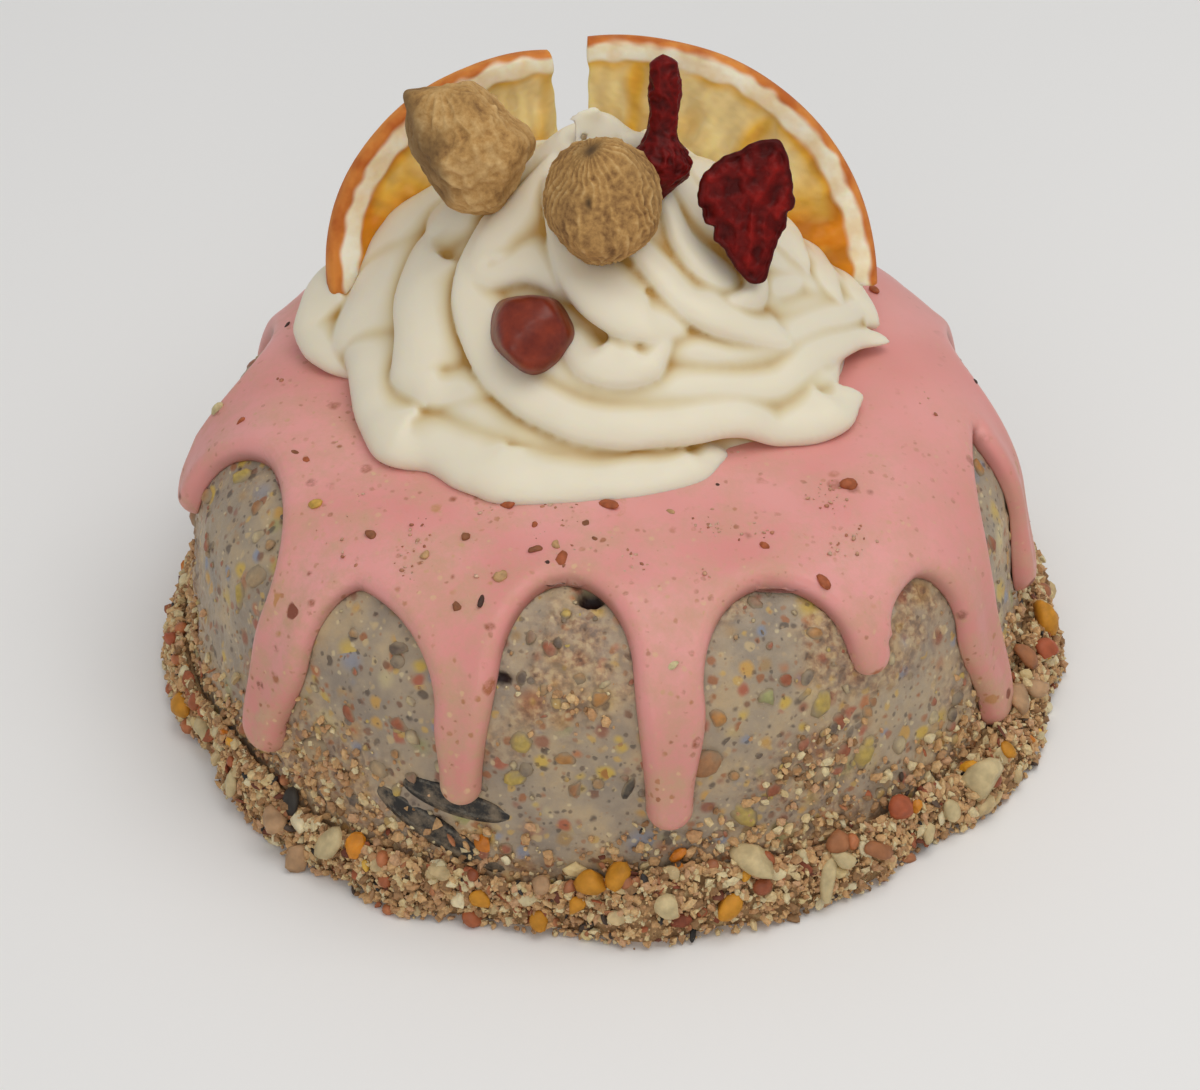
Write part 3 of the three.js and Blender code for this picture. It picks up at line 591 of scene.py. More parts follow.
def drip_edge(drip, arch_azimuth, arch_top, side, share):
    """One side of a drip from the arch's top (share 0) to its own tip (1): azimuth and distance.

    A quarter of an ellipse under the arch, an S-shaped taper, then a quarter circle round the tip.
    """
    root, tip, length, neck_width, tip_width = drip[:5]
    degrees_per_mm = 180 / (np.pi * BASE_RADIUS)
    bottom = length - tip_width / 2
    neck_at = arch_top + min(NECK_DROP, (bottom - arch_top) * NECK_SHARE)
    neck = root + side * neck_width * degrees_per_mm / 2
    tip_edge = tip + side * tip_width / 2 * degrees_per_mm
    under = np.clip(share / ARCH_SHARE, 0, 1) * np.pi / 2
    taper = np.clip((share - ARCH_SHARE) / (TIP_SHARE - ARCH_SHARE), 0, 1)
    end = np.clip((share - TIP_SHARE) / (1 - TIP_SHARE), 0, 1) * np.pi / 2
    azimuth = arch_azimuth + (neck - arch_azimuth) * np.sin(under)
    azimuth = azimuth + (tip_edge - neck) * smoothstep(0, 1, taper)
    distance = arch_top + (neck_at - arch_top) * (1 - np.cos(under)) + (bottom - neck_at) * taper
    azimuth = azimuth + (tip - tip_edge) * (1 - np.cos(end))
    return azimuth, distance + tip_width / 2 * np.sin(end)


def from_line(points, line):
    """The shortest distance from each point to a line of straight stretches."""
    start, stretch = line[:-1], np.diff(line, axis=0)
    reach = points[:, None] - start
    share = (reach * stretch).sum(2) / np.maximum((stretch**2).sum(1), 1e-9)
    gap = reach - np.clip(share, 0, 1)[..., None] * stretch
    return np.sqrt((gap**2).sum(2).min(1))


# Tinted white candy coating, poured: smooth and softly glossy, faintly clear at its edges, with tan
# meal dust rubbed into it, most on the front and the left, where it was handled.
pink_icing, tree, where, shader = finish_named("poured_candy_coating")
patchy = add(tree, "TexNoise", {"Vector": where, "Scale": 1 / 24, "Detail": 2.0})
pink = add(
    tree,
    "ValToRGB",
    {0: patchy.outputs[0]},
    stops=[(0.3, "#dd8f88"), (0.7, "#e8a39d")],
)
axes = add(tree, "SeparateXYZ", {0: where})
toward_front = add(tree, "MapRange", {0: axes.outputs[1], 1: 5.0, 2: -45.0, 3: 0.12, 4: 0.75})
toward_left = add(tree, "MapRange", {0: axes.outputs[0], 1: 0.0, 2: -60.0, 3: 0.0, 4: 0.45})
toward_foot = add(tree, "MapRange", {0: axes.outputs[2], 1: 42.0, 2: 24.0, 3: 0.0, 4: 0.5})
handled = add(tree, "Math", {0: toward_front.outputs[0], 1: toward_left.outputs[0]}, operation="ADD")
handled = add(tree, "Math", {0: handled.outputs[0], 1: toward_foot.outputs[0]}, operation="ADD")
smear = add(tree, "TexNoise", {"Vector": where, "Scale": 1 / 7, "Detail": 6.0, "Roughness": 0.7})
smeared = add(tree, "MapRange", {0: smear.outputs[0], 1: 0.42, 2: 0.68, 3: 0.04, 4: 1.3})
dust = add(tree, "Math", {0: handled.outputs[0], 1: smeared.outputs[0]}, operation="MULTIPLY")
dust_share = add(tree, "Math", {0: dust.outputs[0], 1: 0.75}, operation="MULTIPLY", use_clamp=True)
# Painted shade: the pink turns darker and redder lower down, on the drips' upright sides.
drips_down = add(tree, "MapRange", {0: axes.outputs[2], 1: 44.0, 2: 26.0, 3: 0.0, 4: 0.36})
deeper = add(tree, "MixRGB", {0: drips_down.outputs[0], 1: pink.outputs[0], 2: "#bd7059"})
colour = add(tree, "MixRGB", {0: dust_share.outputs[0], 1: deeper.outputs[0], 2: "#c99e80"}).outputs[0]
for size, share, soft, opacity, colours in (
    (1.0, 0.45, 0.3, 0.6, ("#b9805c", "#cda07c", "#a66c4c", "#d8b08a")),
    (2.6, 0.12, 0.25, 0.8, ("#ad6a46", "#9a5638", "#c08a5a", "#8a4a34")),
):
    mask, tint = specks(tree, where, size, share, soft, colours)
    mask = add(tree, "Math", {0: mask, 1: dust.outputs[0]}, operation="MULTIPLY").outputs[0]
    strength = add(tree, "Math", {0: mask, 1: 2.2 * opacity}, operation="MULTIPLY", use_clamp=True)
    colour = add(tree, "MixRGB", {0: strength.outputs[0], 1: colour, 2: tint}).outputs[0]
# Painted shadow: the icing is darkened to brown along its edges, most where they curve down over the arches.
rim = add(tree, "Attribute", attribute_name="rim")
rim_share = add(tree, "Math", {0: rim.outputs["Fac"], 1: 0.6}, operation="MULTIPLY")
colour = add(tree, "MixRGB", {0: rim_share.outputs[0], 1: colour, 2: "#7d4434"}).outputs[0]
tree.links.new(colour, shader.inputs["Base Color"])
rough = add(tree, "MapRange", {0: dust.outputs[0], 1: 0.0, 2: 0.8, 3: 0.36, 4: 0.6})
tree.links.new(rough.outputs[0], shader.inputs["Roughness"])
grit = add(tree, "TexNoise", {"Vector": where, "Scale": 1 / 0.7, "Detail": 3.0})
gritty = add(tree, "Math", {0: grit.outputs[0], 1: dust.outputs[0]}, operation="MULTIPLY")
bump = add(tree, "Bump", {"Height": gritty.outputs[0], "Strength": 0.35, "Distance": 0.0002})
tree.links.new(bump.outputs[0], shader.inputs["Normal"])
shader.inputs["IOR"].default_value = 1.45
shader.inputs["Subsurface Weight"].default_value = 0.3
shader.inputs["Subsurface Radius"].default_value = (1.0, 0.45, 0.35)
shader.inputs["Subsurface Scale"].default_value = 0.002

# Each drip is a sector of the sheet, from the arch before it to the arch after it: rows across the
# top of the cake, then rows down the drip between its two edges.
across = (1 - np.cos(np.linspace(0, np.pi, SECTOR_COLUMNS)))[None] / 2
cap = np.sin(np.linspace(0, np.pi / 2, CAP_ROWS))[:-1, None]
down = np.linspace(0, 1, DRIP_ROWS)[:, None]
edges = []
for i, drip in enumerate(DRIPS):
    before = DRIPS[i - 1]
    left = (before[5] - (360 if i == 0 else 0), before[6])
    edges.append([drip_edge(drip, *left, -1, down), drip_edge(drip, *drip[5:], 1, down)])
lines = [[on_cake(a[:, 0], d[:, 0]) for a, d in pair] for pair in edges]
tips = np.array([on_cake(drip[1], drip[2] - TIP_SWELL_UP) for drip in DRIPS])
outer, inner, rims = [], [], []
for i, pair in enumerate(edges):
    (left_azimuth, left_at), (right_azimuth, right_at) = pair
    azimuth = left_azimuth + (right_azimuth - left_azimuth) * across
    distance = left_at + (right_at - left_at) * across
    even = distance[:1] + (distance[-1:] - distance[:1]) * down
    distance = distance + (even - distance) * (4 * across * (1 - across)) ** 2
    azimuth = np.concatenate([np.repeat(azimuth[:1], len(cap), 0), azimuth])
    distance = np.concatenate([distance[:1] * cap, distance])
    flat = on_cake(azimuth, distance).reshape(-1, 3)
    near = [lines[i - 1][1], lines[i][0], lines[i][1], lines[(i + 1) % len(DRIPS)][0]]
    from_edge = np.min([from_line(flat, line) for line in near], 0).reshape(azimuth.shape)
    rounded = np.sqrt(1 - (1 - np.clip(from_edge / ICING_EDGE, 0, 1)) ** 2)
    bead = BEAD * np.exp(-(((from_edge - BEAD_FROM_EDGE) / BEAD_WIDTH) ** 2))
    from_tip = np.linalg.norm(flat[:, None] - tips, axis=2).min(1).reshape(azimuth.shape)
    fuller = TIP_SWELL * np.exp(-((from_tip / TIP_SWELL_RADIUS) ** 2))
    slack = 0.22 * ripples(flat, 26, 21).reshape(azimuth.shape)
    height = ICING_UNDERSIDE + rounded * (ICING_THICKNESS + bead + fuller + slack)
    # Painted shadow along the edges: strongest on the arches, weaker down the drips.
    under_arch = 1 - smoothstep(0, 13, distance - (DRIPS[i][6] + DRIPS[i - 1][6]) / 2)
    rims.append((np.exp(-((from_edge / 0.5) ** 2)) * (0.25 + 0.75 * under_arch)).ravel())
    outer.append(on_cake(azimuth, distance, height))
    inner.append(on_cake(azimuth, distance, ICING_UNDERSIDE))
rows, columns = outer[0].shape[:2]
sector = quads(rows, columns)
sheets = outer + inner
piece(
    "poured_pink_icing",
    np.concatenate([s.reshape(-1, 3) for s in sheets]),
    np.concatenate([sector + i * rows * columns for i in range(len(sheets))]),
    pink_icing,
    "pink_icing",
    stands_for=["pink_icing"],
    rim=np.concatenate(rims + rims),
)

# Grains and dust stuck in the icing as it set. Each fleck: azimuth, distance, length, width, colour:
# 0 red-brown, 1 brown, 2 tan, 3 yellow, 4 black hull, 5 pale husk.
FLECKS = [
    (53.5, 43.5, 3, 2.4, 0), (35, 53, 2.8, 2, 0), (-24.5, 33, 2.8, 2.2, 0), (1, 31, 4, 2, 0),
    (-8.5, 42, 2.8, 2.2, 0), (-14, 40.8, 2.2, 1.4, 1), (-4.5, 35, 1.4, 1.1, 1), (-10, 39.4, 1.8, 1.4, 2),
    (-11, 43, 1.2, 0.9, 4), (-18.5, 46.5, 2.2, 1.8, 2), (-20, 50.5, 2.8, 0.8, 4), (-23.5, 52, 1.6, 1.3, 1),
    (-28.5, 41.2, 1.6, 1.2, 1), (31, 31.5, 1.2, 0.9, 4), (23, 28.5, 2.6, 0.8, 4), (30, 45, 1.6, 1.2, 0),
    (38, 63, 1.1, 0.9, 1), (-33, 46.5, 1.8, 1.4, 2), (-72.5, 47, 2.6, 1.2, 1), (-69, 46, 1.6, 1, 0),
    (-58, 48.5, 2.8, 1.7, 3), (-87, 53, 1.8, 1.5, 0), (-95, 58, 3, 2.4, 5), (-132, 50, 5, 2.8, 5),
    (-140, 47, 4, 2.2, 5), (96, 56, 1.6, 1.2, 4), (-113, 51, 1.4, 0.6, 4), (9, 58, 2.8, 1.1, 5),
    (-44.5, 47.2, 1.8, 1.3, 1), (-16, 36, 1.3, 1, 0), (-2, 38, 1.2, 0.9, 1), (16, 34, 1.3, 1, 2),
    (120, 48, 2.4, 1.6, 0), (160, 44, 1.6, 1.2, 1), (205, 52, 2.2, 1.6, 2), (181, 70, 1.4, 1.2, 0),
]  # fmt: skip
stuck_fleck = dry_grain(
    "flecks_stuck_in_icing",
    ("#a95c38", "#8f5a3c", "#c39a6c", "#c9a04c", "#4a332a", "#cdbf92"),
    roughness=0.6,
    mottle=0.8,
)
icing_dust = dry_grain(
    "dust_of_nut_meal",
    ("#c99a7c", "#d6a98e", "#bb8062", "#d8b096", "#a2684c"),
    roughness=0.7,
    mottle=0.6,
)
azimuth, distance, length, width, kind = np.array(FLECKS).T
points, faces, _ = lumps(
    on_cake(azimuth, distance, ICING_UNDERSIDE + ICING_THICKNESS),
    normal_on_cake(azimuth, distance),
    np.stack([length, width, width * 0.6], -1),
    seed=24,
    fineness=2,
    cuts=2,
    tilt=0.15,
    sink=0.4,
    dent=0.08,
)
piece("flecks_in_the_icing", points, faces, stuck_fleck, "pink_icing", tint=tint_of(kind, 6))

# The dust lies in clusters, thickest in front and a little to the left, and clear of the arches.
rng = np.random.default_rng(25)
count = 2600
azimuth = rng.normal(0, 42, count)
distance = rng.uniform(24, 52, count)
clustered = ripples(on_cake(azimuth, distance), 9, 26) + 0.35 * np.cos(np.radians(azimuth + 20))
kept = rng.random(count) < smoothstep(0.3, 1.2, clustered)
arch_tops = np.interp(azimuth, [d[5] for d in DRIPS], [d[6] for d in DRIPS], period=360)
kept &= distance < arch_tops - 1.5
azimuth, distance = azimuth[kept], distance[kept]
points, faces, tint = lumps(
    on_cake(azimuth, distance, ICING_UNDERSIDE + ICING_THICKNESS),
    normal_on_cake(azimuth, distance),
    drawn_sizes(rng, len(azimuth), 0.25, 1.0, 0.8, 0.5),
    seed=27,
    tilt=0.3,
    sink=0.45,
)
piece("meal_dust_on_the_icing", points, faces, icing_dust, "pink_icing", tint=tint)

# ---- crumb collar ----
# What fell from the cake and stuck to its foot: ground nuts and meal, with pale nut pieces, cracked
# corn, round red millet, skins and hulls, heaped about 9 mm up the side and ragged at its outer edge.
COLLAR_RADIUS = 68.3
COLLAR_LEAN = 1.5  # how much farther out the ring reaches on one side
COLLAR_LEAN_AZIMUTH = 100
COLLAR_HEIGHT = 9.0
COLLAR_CREST = 1.5  # how far the crest stands off the cake's side
CRUMB_CLIMB = 25.0  # how far crumbs climb the cake's side for each share past the crest
TABLE_GAP = 0.02  # nothing reaches lower than this
BANK_STEPS, BANK_COLUMNS = 22, 720


def on_collar(azimuth, share, raised=0.0):
    """A point on the collar's slope: share 0 at its outer foot, 1 at its crest against the cake.

    The ring's outline wanders by a few sines of the azimuth, and its slope bulges outwards.
    """
    a, share, raised = np.broadcast_arrays(np.radians(azimuth), share, raised)
    ragged = 0.9 * np.sin(7 * a) + 0.7 * np.sin(13 * a + 1) + 0.5 * np.sin(23 * a)
    foot = COLLAR_RADIUS + COLLAR_LEAN * np.cos(a - np.radians(COLLAR_LEAN_AZIMUTH)) + ragged
    high = COLLAR_HEIGHT + 1.2 * np.sin(5 * a + 0.6) + 0.8 * np.sin(11 * a)
    crest = BASE_RADIUS - high * FLARE + COLLAR_CREST
    swell = np.sin(share * np.pi / 2)
    r = foot + (crest - foot) * (1 - np.cos(share * np.pi / 2)) + raised * 0.7
    z = high * swell + raised * 0.7 * swell
    return np.stack([r * np.sin(a), -r * np.cos(a), z], -1)


def out_of_collar(azimuth, share, lowest):
    """The direction straight out of the collar's slope, taken no lower than at a share of it."""
    share = np.clip(share, lowest, 0.8)
    outward = on_collar(azimuth, share, 1.0) - on_collar(azimuth, share)
    return outward / np.linalg.norm(outward, axis=1)[:, None]


# The packed core under the loose crumbs, built in place of the imported collar, 2.2 mm below the
# slope at its foot and 1 mm at its crest.
azimuth = np.linspace(0, 360, BANK_COLUMNS, endpoint=False)[:, None]
share = np.linspace(0, 1, BANK_STEPS)[None]
sunk = -2.2 + 1.2 * smoothstep(0, 0.35, share)
bank = on_collar(azimuth, share, sunk)
rough = 0.5 * ripples(bank, 3.2, 31) + 0.35 * ripples(bank, 1.5, 32)
bank = on_collar(azimuth, share, sunk + rough * smoothstep(0, 0.12, share))
a = np.radians(azimuth)
inner_rings = []
for inside, height in ((1.5, 6), (0.8, 0)):  # the core's back lies just inside the cake
    radius = BASE_RADIUS - inside
    inner_rings.append(np.stack([radius * np.sin(a), -radius * np.cos(a), 0 * a + height], -1))
bank = np.concatenate([bank, *inner_rings, bank[:, :1]], 1)
faces = quads(bank.shape[1], bank.shape[0], wrap=True)

# Meal pressed together: matt and grainy, with painted shade darkening the hollows between paler clumps.
packed_meal, tree, where, shader = finish_named("packed_nut_meal")
# Painted shade: the colour follows the bump's noise, dark where it is low.
clump = add(tree, "TexNoise", {"Vector": where, "Scale": 1 / 2.2, "Detail": 4.0, "Roughness": 0.7})
drawn = add(
    tree,
    "ValToRGB",
    {0: clump.outputs[0]},
    stops=[(0.34, "#94704c"), (0.66, "#d6ba88"), (0.45, "#b08a60"), (0.55, "#c29e70")],
)
tree.links.new(drawn.outputs[0], shader.inputs["Base Color"])
shader.inputs["Roughness"].default_value = 0.85
bump = add(tree, "Bump", {"Height": clump.outputs[0], "Strength": 0.7, "Distance": 0.0006})
tree.links.new(bump.outputs[0], shader.inputs["Normal"])
piece(
    "packed_crumbs",
    bank.transpose(1, 0, 2),
    faces,
    packed_meal,
    "crumbs",
    stands_for=["crumb_collar"],
)

# Nut flesh is chalky and pale, skins and hulls are papery; millet and corn have a horny skin that
# shines a little. For each: its colours, then roughness, size of its mottling, and shine.
pale_nut = dry_grain("broken_blanched_nut", ("#d8c79d", "#e4d5ae", "#c9b184", "#dcc48f"), 0.6, 1.6)
red_millet = dry_grain("red_millet", ("#ad6038", "#96502f", "#bd7448", "#a86a45"), 0.5, 1.4, 0.5)
cracked_corn = dry_grain("cracked_corn", ("#d98a1e", "#e2a02c", "#cf7a1c", "#e3b445"), 0.42, 1.8, 0.5)
nut_skin = dry_grain("nut_skins", ("#8a4a33", "#a8603f", "#70402f", "#b57852"), 0.6, 1.0)
dark_hull = dry_grain("seed_hulls", ("#2c2927", "#4a3b30", "#3a3431", "#5d4a3a"), 0.5, 1.2, 0.4)

# name, material, count, sizes from and to, width, thickness, fineness, cuts, tilt, sink, dent
KINDS = [
    ("ground_meal", meal_grain, 8500, 0.8, 2.3, 0.75, 0.55, 1, 1, 0.8, 0.35, 0.2),
    ("fine_meal", meal_grain, 9800, 0.4, 1.2, 0.8, 0.65, 1, 1, 0.8, 0.2, 0.2),
    ("nut_pieces", pale_nut, 150, 1.8, 4.2, 0.75, 0.55, 2, 6, 0.6, 0.35, 0.02),
    ("millet_grains", red_millet, 40, 2.0, 3.6, 0.9, 0.8, 2, 0, 0.6, 0.3, 0.03),
    ("corn_pieces", cracked_corn, 46, 1.8, 4.4, 0.7, 0.5, 2, 4, 0.5, 0.3, 0.03),
    ("skins", nut_skin, 420, 1.2, 3.2, 0.7, 0.16, 2, 1, 0.5, 0.1, 0.12),
    ("hulls", dark_hull, 150, 1.2, 3.4, 0.42, 0.26, 2, 1, 0.6, 0.2, 0.05),
]
for i, kind in enumerate(KINDS):
    name, material, count, small, large, width, thick, fineness, cuts, tilt, sink, dent = kind
    rng = np.random.default_rng(40 + i)
    azimuth = rng.uniform(-180, 180, count)
    share = rng.uniform(0.0, 1.0, count) + 0.4 * rng.random(count) ** 3
    sizes = drawn_sizes(rng, count, small, large, width, thick)
    place = on_collar(azimuth, np.minimum(share, 1), rng.uniform(-0.5, 0.3, count))
    climbed = section_length - (place[:, 2] + np.maximum(0, share - 1) * CRUMB_CLIMB) * slope
    place = np.where(share[:, None] > 1, on_cake(azimuth, climbed, 0.2), place)
    outward = out_of_collar(azimuth, share, 0.2)
    place[:, 2] = np.maximum(place[:, 2], sizes[:, 0] * 0.28)
    points, faces, tint = lumps(
        place, outward, sizes, 50 + i, fineness=fineness, cuts=cuts, tilt=tilt, sink=sink, dent=dent
    )
    points[:, 2] = np.maximum(points[:, 2], TABLE_GAP)
    piece(name, points, faces, material, "crumbs", flat=cuts > 3 or fineness == 1, tint=tint)

# The largest pieces in the ring, each where it lies: azimuth, share of the slope, length, width and
# which of the colours: 0 pale nut, 1 corn, 2 red millet, 3 brown grain, 4 tan nut, 5 dark hull.
LARGE_CRUMBS = [
    (52.5, 0.6, 8, 6.2, 0), (59, 0.6, 3.2, 2.6, 1), (47, 0.38, 3.6, 2.6, 0), (43.5, 0.24, 4.4, 2.2, 0),
    (39.5, 0.98, 4.8, 4.4, 2), (29.5, 0.95, 4.2, 3.8, 3), (34, 0.5, 5.6, 3.2, 3), (29.5, 0.6, 4.6, 3.6, 0),
    (27, 0.35, 7.5, 3, 0), (18, 1, 8, 5, 0), (14, 0.3, 4.8, 3.6, 1), (6.5, 0.45, 4.1, 3.8, 0),
    (0.8, 1, 5, 4.2, 1), (-2.5, 1, 5.2, 4.2, 1), (-9, 1, 3.3, 3.1, 4), (-16.5, 0.4, 3.6, 3, 1),
    (-9, 0.22, 3.4, 2.8, 1), (-4.5, 0.48, 3.4, 2.8, 1), (-73.5, 0.35, 5.4, 3.6, 1), (-68, 0.3, 5, 3.4, 0),
    (-56, 0.3, 4.8, 2.8, 0), (-46, 0.45, 6, 4.6, 4), (-42, 0.15, 5.4, 3.4, 4), (-37.5, 0.6, 6.6, 4.2, 0),
    (-45, 1, 4.6, 3, 5), (77, 0.6, 4.4, 4, 2), (82.5, 0.8, 7.2, 5, 1), (66, 0.85, 5, 4, 4),
    (70, 0.6, 4.5, 3.5, 4), (73, 0.95, 5, 3.5, 3), (-84, 0.7, 3, 2.6, 2), (120, 0.6, 6, 4.4, 0),
    (151, 0.5, 4.6, 4, 2), (186, 0.7, 6.2, 4.4, 1), (213, 0.4, 5.4, 4, 0), (247, 0.6, 5, 4.2, 4),
]  # fmt: skip
large_crumb = dry_grain(
    "large_broken_grain",
    ("#cdb98c", "#c98a2a", "#ae5c3c", "#a56d48", "#b8936e", "#3c3731"),
    roughness=0.55,
    mottle=1.8,
)
azimuth, share, length, width, kind = np.array(LARGE_CRUMBS).T
place = on_collar(azimuth, share, 0.5)
place[:, 2] = np.maximum(place[:, 2], width * 0.4)
points, faces, _ = lumps(
    place,
    out_of_collar(azimuth, share, 0.3),
    np.stack([length, width, width * 0.7], -1),
    seed=59,
    fineness=2,
    cuts=4,
    tilt=0.25,
    dent=0.05,
)
points[:, 2] = np.maximum(points[:, 2], TABLE_GAP)
piece("large_crumbs", points, faces, large_crumb, "crumbs", tint=tint_of(kind, 6))

# ---- piped cream ----
# Stiff cream piped from a plain nozzle in one go: folds swept round and up a leaning heap to a peak,
# the last curl tucked under the nuts. Where two folds meet there is a sharp valley.
HEAP_BASE, HEAP_TOP, HEAP_RADIUS = 50.5, 90.0, 34.0
HEAP_STRETCH = 1.15  # the heap is this much wider than it is deep
HEAP_BACK = 0.88  # its back is flattened to this
HEAP_MIDDLE = 8.0  # how far behind the cake's axis it stands
HEAP_LEAN = 0.2  # how far back it leans for each mm up
HEAP_POWER = 1.3  # of how its radius shrinks upwards: 1 would be a cone, more is fuller
# A fold: its knots in order, which run along its lower edge. Each knot: azimuth, height, size of the
# fold there, and how deep the edge lies in the heap; a depth below 0 stands out of it.
FOLDS = [
    # the lobe low on the left
    [
        (-110, 59, 3, -5.3), (-108, 57, 4, -7.2), (-102, 53, 4.6, -6.6), (-93, 51, 4.8, -5.3),
        (-83, 51, 4.6, -2.5), (-78, 51, 4, 1),
    ],
    # the outer fold, down the left side and along the front
    [
        (-117, 71, 4, -3.6), (-114, 66, 5, -4.7), (-110, 59, 5.6, -3.2), (-102, 52.5, 5.8, -0.3),
        (-76, 53, 5.6, 0), (-56, 51, 5.4, -2.6), (-44, 51, 5, -5.4), (-36, 51, 4.6, -3.4),
        (-28, 51, 4, -5.1),
    ],
    # the inner fold on the left
    [
        (-89, 72.5, 3.5, 0.5), (-91, 68, 4.6, 0), (-78, 63.5, 5.2, 0), (-63, 60, 5.2, -0.3),
        (-55, 56.5, 5, -0.6), (-44, 56, 4.6, -0.3), (-34, 57.5, 4, 1),
    ],
    # the long fold across the front
    [
        (-68, 74, 2.6, 0.6), (-63, 70.5, 3, 0.4), (-52, 66.5, 3.2, 0.2), (-40, 63, 3.4, 0),
        (-29, 60, 3.6, 0), (-14, 57.5, 3.8, -0.8), (-1, 56, 4, -1.5), (14, 55.5, 4.2, -1.5),
        (31, 54.5, 4.6, -1.2), (41, 51.5, 5, -1.4), (53, 51, 4.6, -4.2), (61, 51.5, 2.6, -3.6),
    ],
    # the second fold above it
    [
        (-18, 62, 3, 1.6), (0, 59.5, 4.4, 0.9), (22, 58, 5, 0.7), (47, 55, 5.2, 0.4), (63, 55.5, 4.6, 0),
        (80, 53, 3.8, -0.5), (86, 51.5, 1.6, -3.2),
    ],
    # the third, on the right
    [(12, 63.5, 4, 1.8), (28, 61.5, 5, 1.5), (50, 59, 5.5, 1.3), (74, 56.5, 5.5, 1), (100, 52, 4, -2.1)],
    # the skirt in front
    [
        (-32, 51.5, 4, -3.4), (-21, 51, 4, -6.2), (-4, 50.5, 3.6, -4.2), (9, 50.5, 3.5, -3.4),
        (20, 50.5, 3.2, -2.4), (26, 51, 2.4, 0),
    ],
    # the column up to the peak
    [
        (-64, 81.5, 2.2, 1.4), (-62, 78, 3.6, 0.6), (-62, 74, 4.6, 0.4), (-59, 70.5, 4.6, 0.6),
        (-48, 69, 4.2, 1), (-29, 71, 4, 1.4), (-11, 69.5, 3.6, 1.6),
    ],
    # the arm that crosses under the nuts
    [
        (-40, 80, 2.4, 0.5), (-25, 76, 3.4, 0), (-12, 71.5, 4.2, -1), (0, 68.5, 4.6, -1.4),
        (12, 66.5, 4.4, -1.3), (20, 66, 3.6, -0.4),
    ],
    # the lobe of the last curl
    [(-12, 65, 2.6, 1), (-5, 63, 4, -0.6), (5, 62, 4.6, -1), (14, 62.5, 4.4, -0.9), (19, 64.5, 3.6, -0.3)],
    # the tongue on the right
    [(14, 75.5, 2.6, 1), (20, 72, 4, 0), (27, 68, 5, -0.8), (37, 65, 5, -1), (50, 61.5, 4, -0.3)],
    # the ridge beside it
    [(46, 79, 3, 0.6), (38, 74.5, 4.4, 0.2), (41, 70, 4.8, 0), (51, 66, 4.2, 0.2), (62, 63.5, 3, 1)],
    # a short fold on the right
    [(55, 65.5, 3, 1), (69, 63.5, 3.6, 0.8), (98, 59.5, 3, 1)],
    # the fold that the half cranberry rests on
    [(68, 74, 3, 1), (60, 71.5, 4.2, -2), (53, 69.5, 4.6, -3.6), (47, 68.5, 4, -2.5), (41, 68, 2.8, 0.5)],
    # the fold that climbs on the right
    [(59, 62.5, 3.6, 1.6), (79, 58.5, 4.6, 1.4), (104, 53.5, 4, -0.9)],
    # the hem in front
    [(-60, 56, 6, 2.5), (-40, 54.5, 5.5, 1.2), (-22, 53, 5, 0.4), (-4, 52.5, 5, 0.2), (14, 52.5, 4, 0.8)],
    # the hem on the right
    [(44, 53, 6, 1), (60, 52.5, 6, 0), (70, 53, 4, 1)],
    # the body of the heap on the left
    [(-125, 68, 7, -0.5), (-108, 61, 8, -1), (-92, 55, 7, -1)],
    # the body of the heap on the right, and the peak
    [(62, 79, 9, 2), (64, 70, 9, 2.5), (77, 63, 9, 2)],
    [(113, 77, 8, 1.5), (92, 68, 9, 2), (96, 59, 8, 0.5)],
    [(200, 75, 9, 3), (190, 80, 7.5, 3), (175, 85, 4.5, 3)],
    # round the back, from the lowest up
    [
        (105, 51.5, 7, -2), (140, 51, 7.3, -3), (180, 50.8, 7.6, -3.6), (218, 51, 7.3, -4),
        (250, 51.5, 7, -5),
    ],
    [
        (100, 57, 6.5, 0), (136, 55.5, 6.8, -0.6), (171, 56.5, 6.8, -0.6), (206, 57.6, 6.5, -0.4),
        (242, 59, 6.2, 0),
    ],
    [(100, 63, 6.5, 0), (140, 62, 6.5, 0), (178, 64, 6.4, 0), (216, 66, 6.4, 0), (256, 68, 6.4, 0.5)],
    [(108, 71, 7, 0.5), (148, 69, 6.6, 0.4), (185, 71, 6.2, 0.4), (228, 73, 6, 0.5), (260, 74, 6, 1)],
]  # fmt: skip
FILLING_DEPTH = 2.0  # the plain core lies this deep in the heap
CORE_BOTTOM, CORE_TOP = 46, 84
CORE_RINGS, CORE_COLUMNS = 40, 90
FOLD_CAP = 8  # rings in each round end of a fold
CREAM_VOXEL = 0.45
EASE_ROUNDS, NEAR_ROUNDS, WIDE_ROUNDS = 2, 25, 110


def on_heap(azimuth, height, depth):
    """The point of the leaning heap at an azimuth and height, sunk by a depth. Its radius shrinks
    upwards by a power, its back is flattened and its middle moves back as it rises."""
    azimuth, height, depth = np.broadcast_arrays(azimuth, height, depth)
    up = np.clip((height - HEAP_BASE) / (HEAP_TOP - HEAP_BASE), 0, 1)
    radius = HEAP_RADIUS * (1 - up**HEAP_POWER) - depth
    forward = radius * np.cos(np.radians(azimuth))
    forward = np.where(forward > 0, forward, forward * HEAP_BACK)
    middle = HEAP_MIDDLE + HEAP_LEAN * (height - HEAP_BASE)
    return np.stack([HEAP_STRETCH * radius * np.sin(np.radians(azimuth)), middle - forward, height], -1)


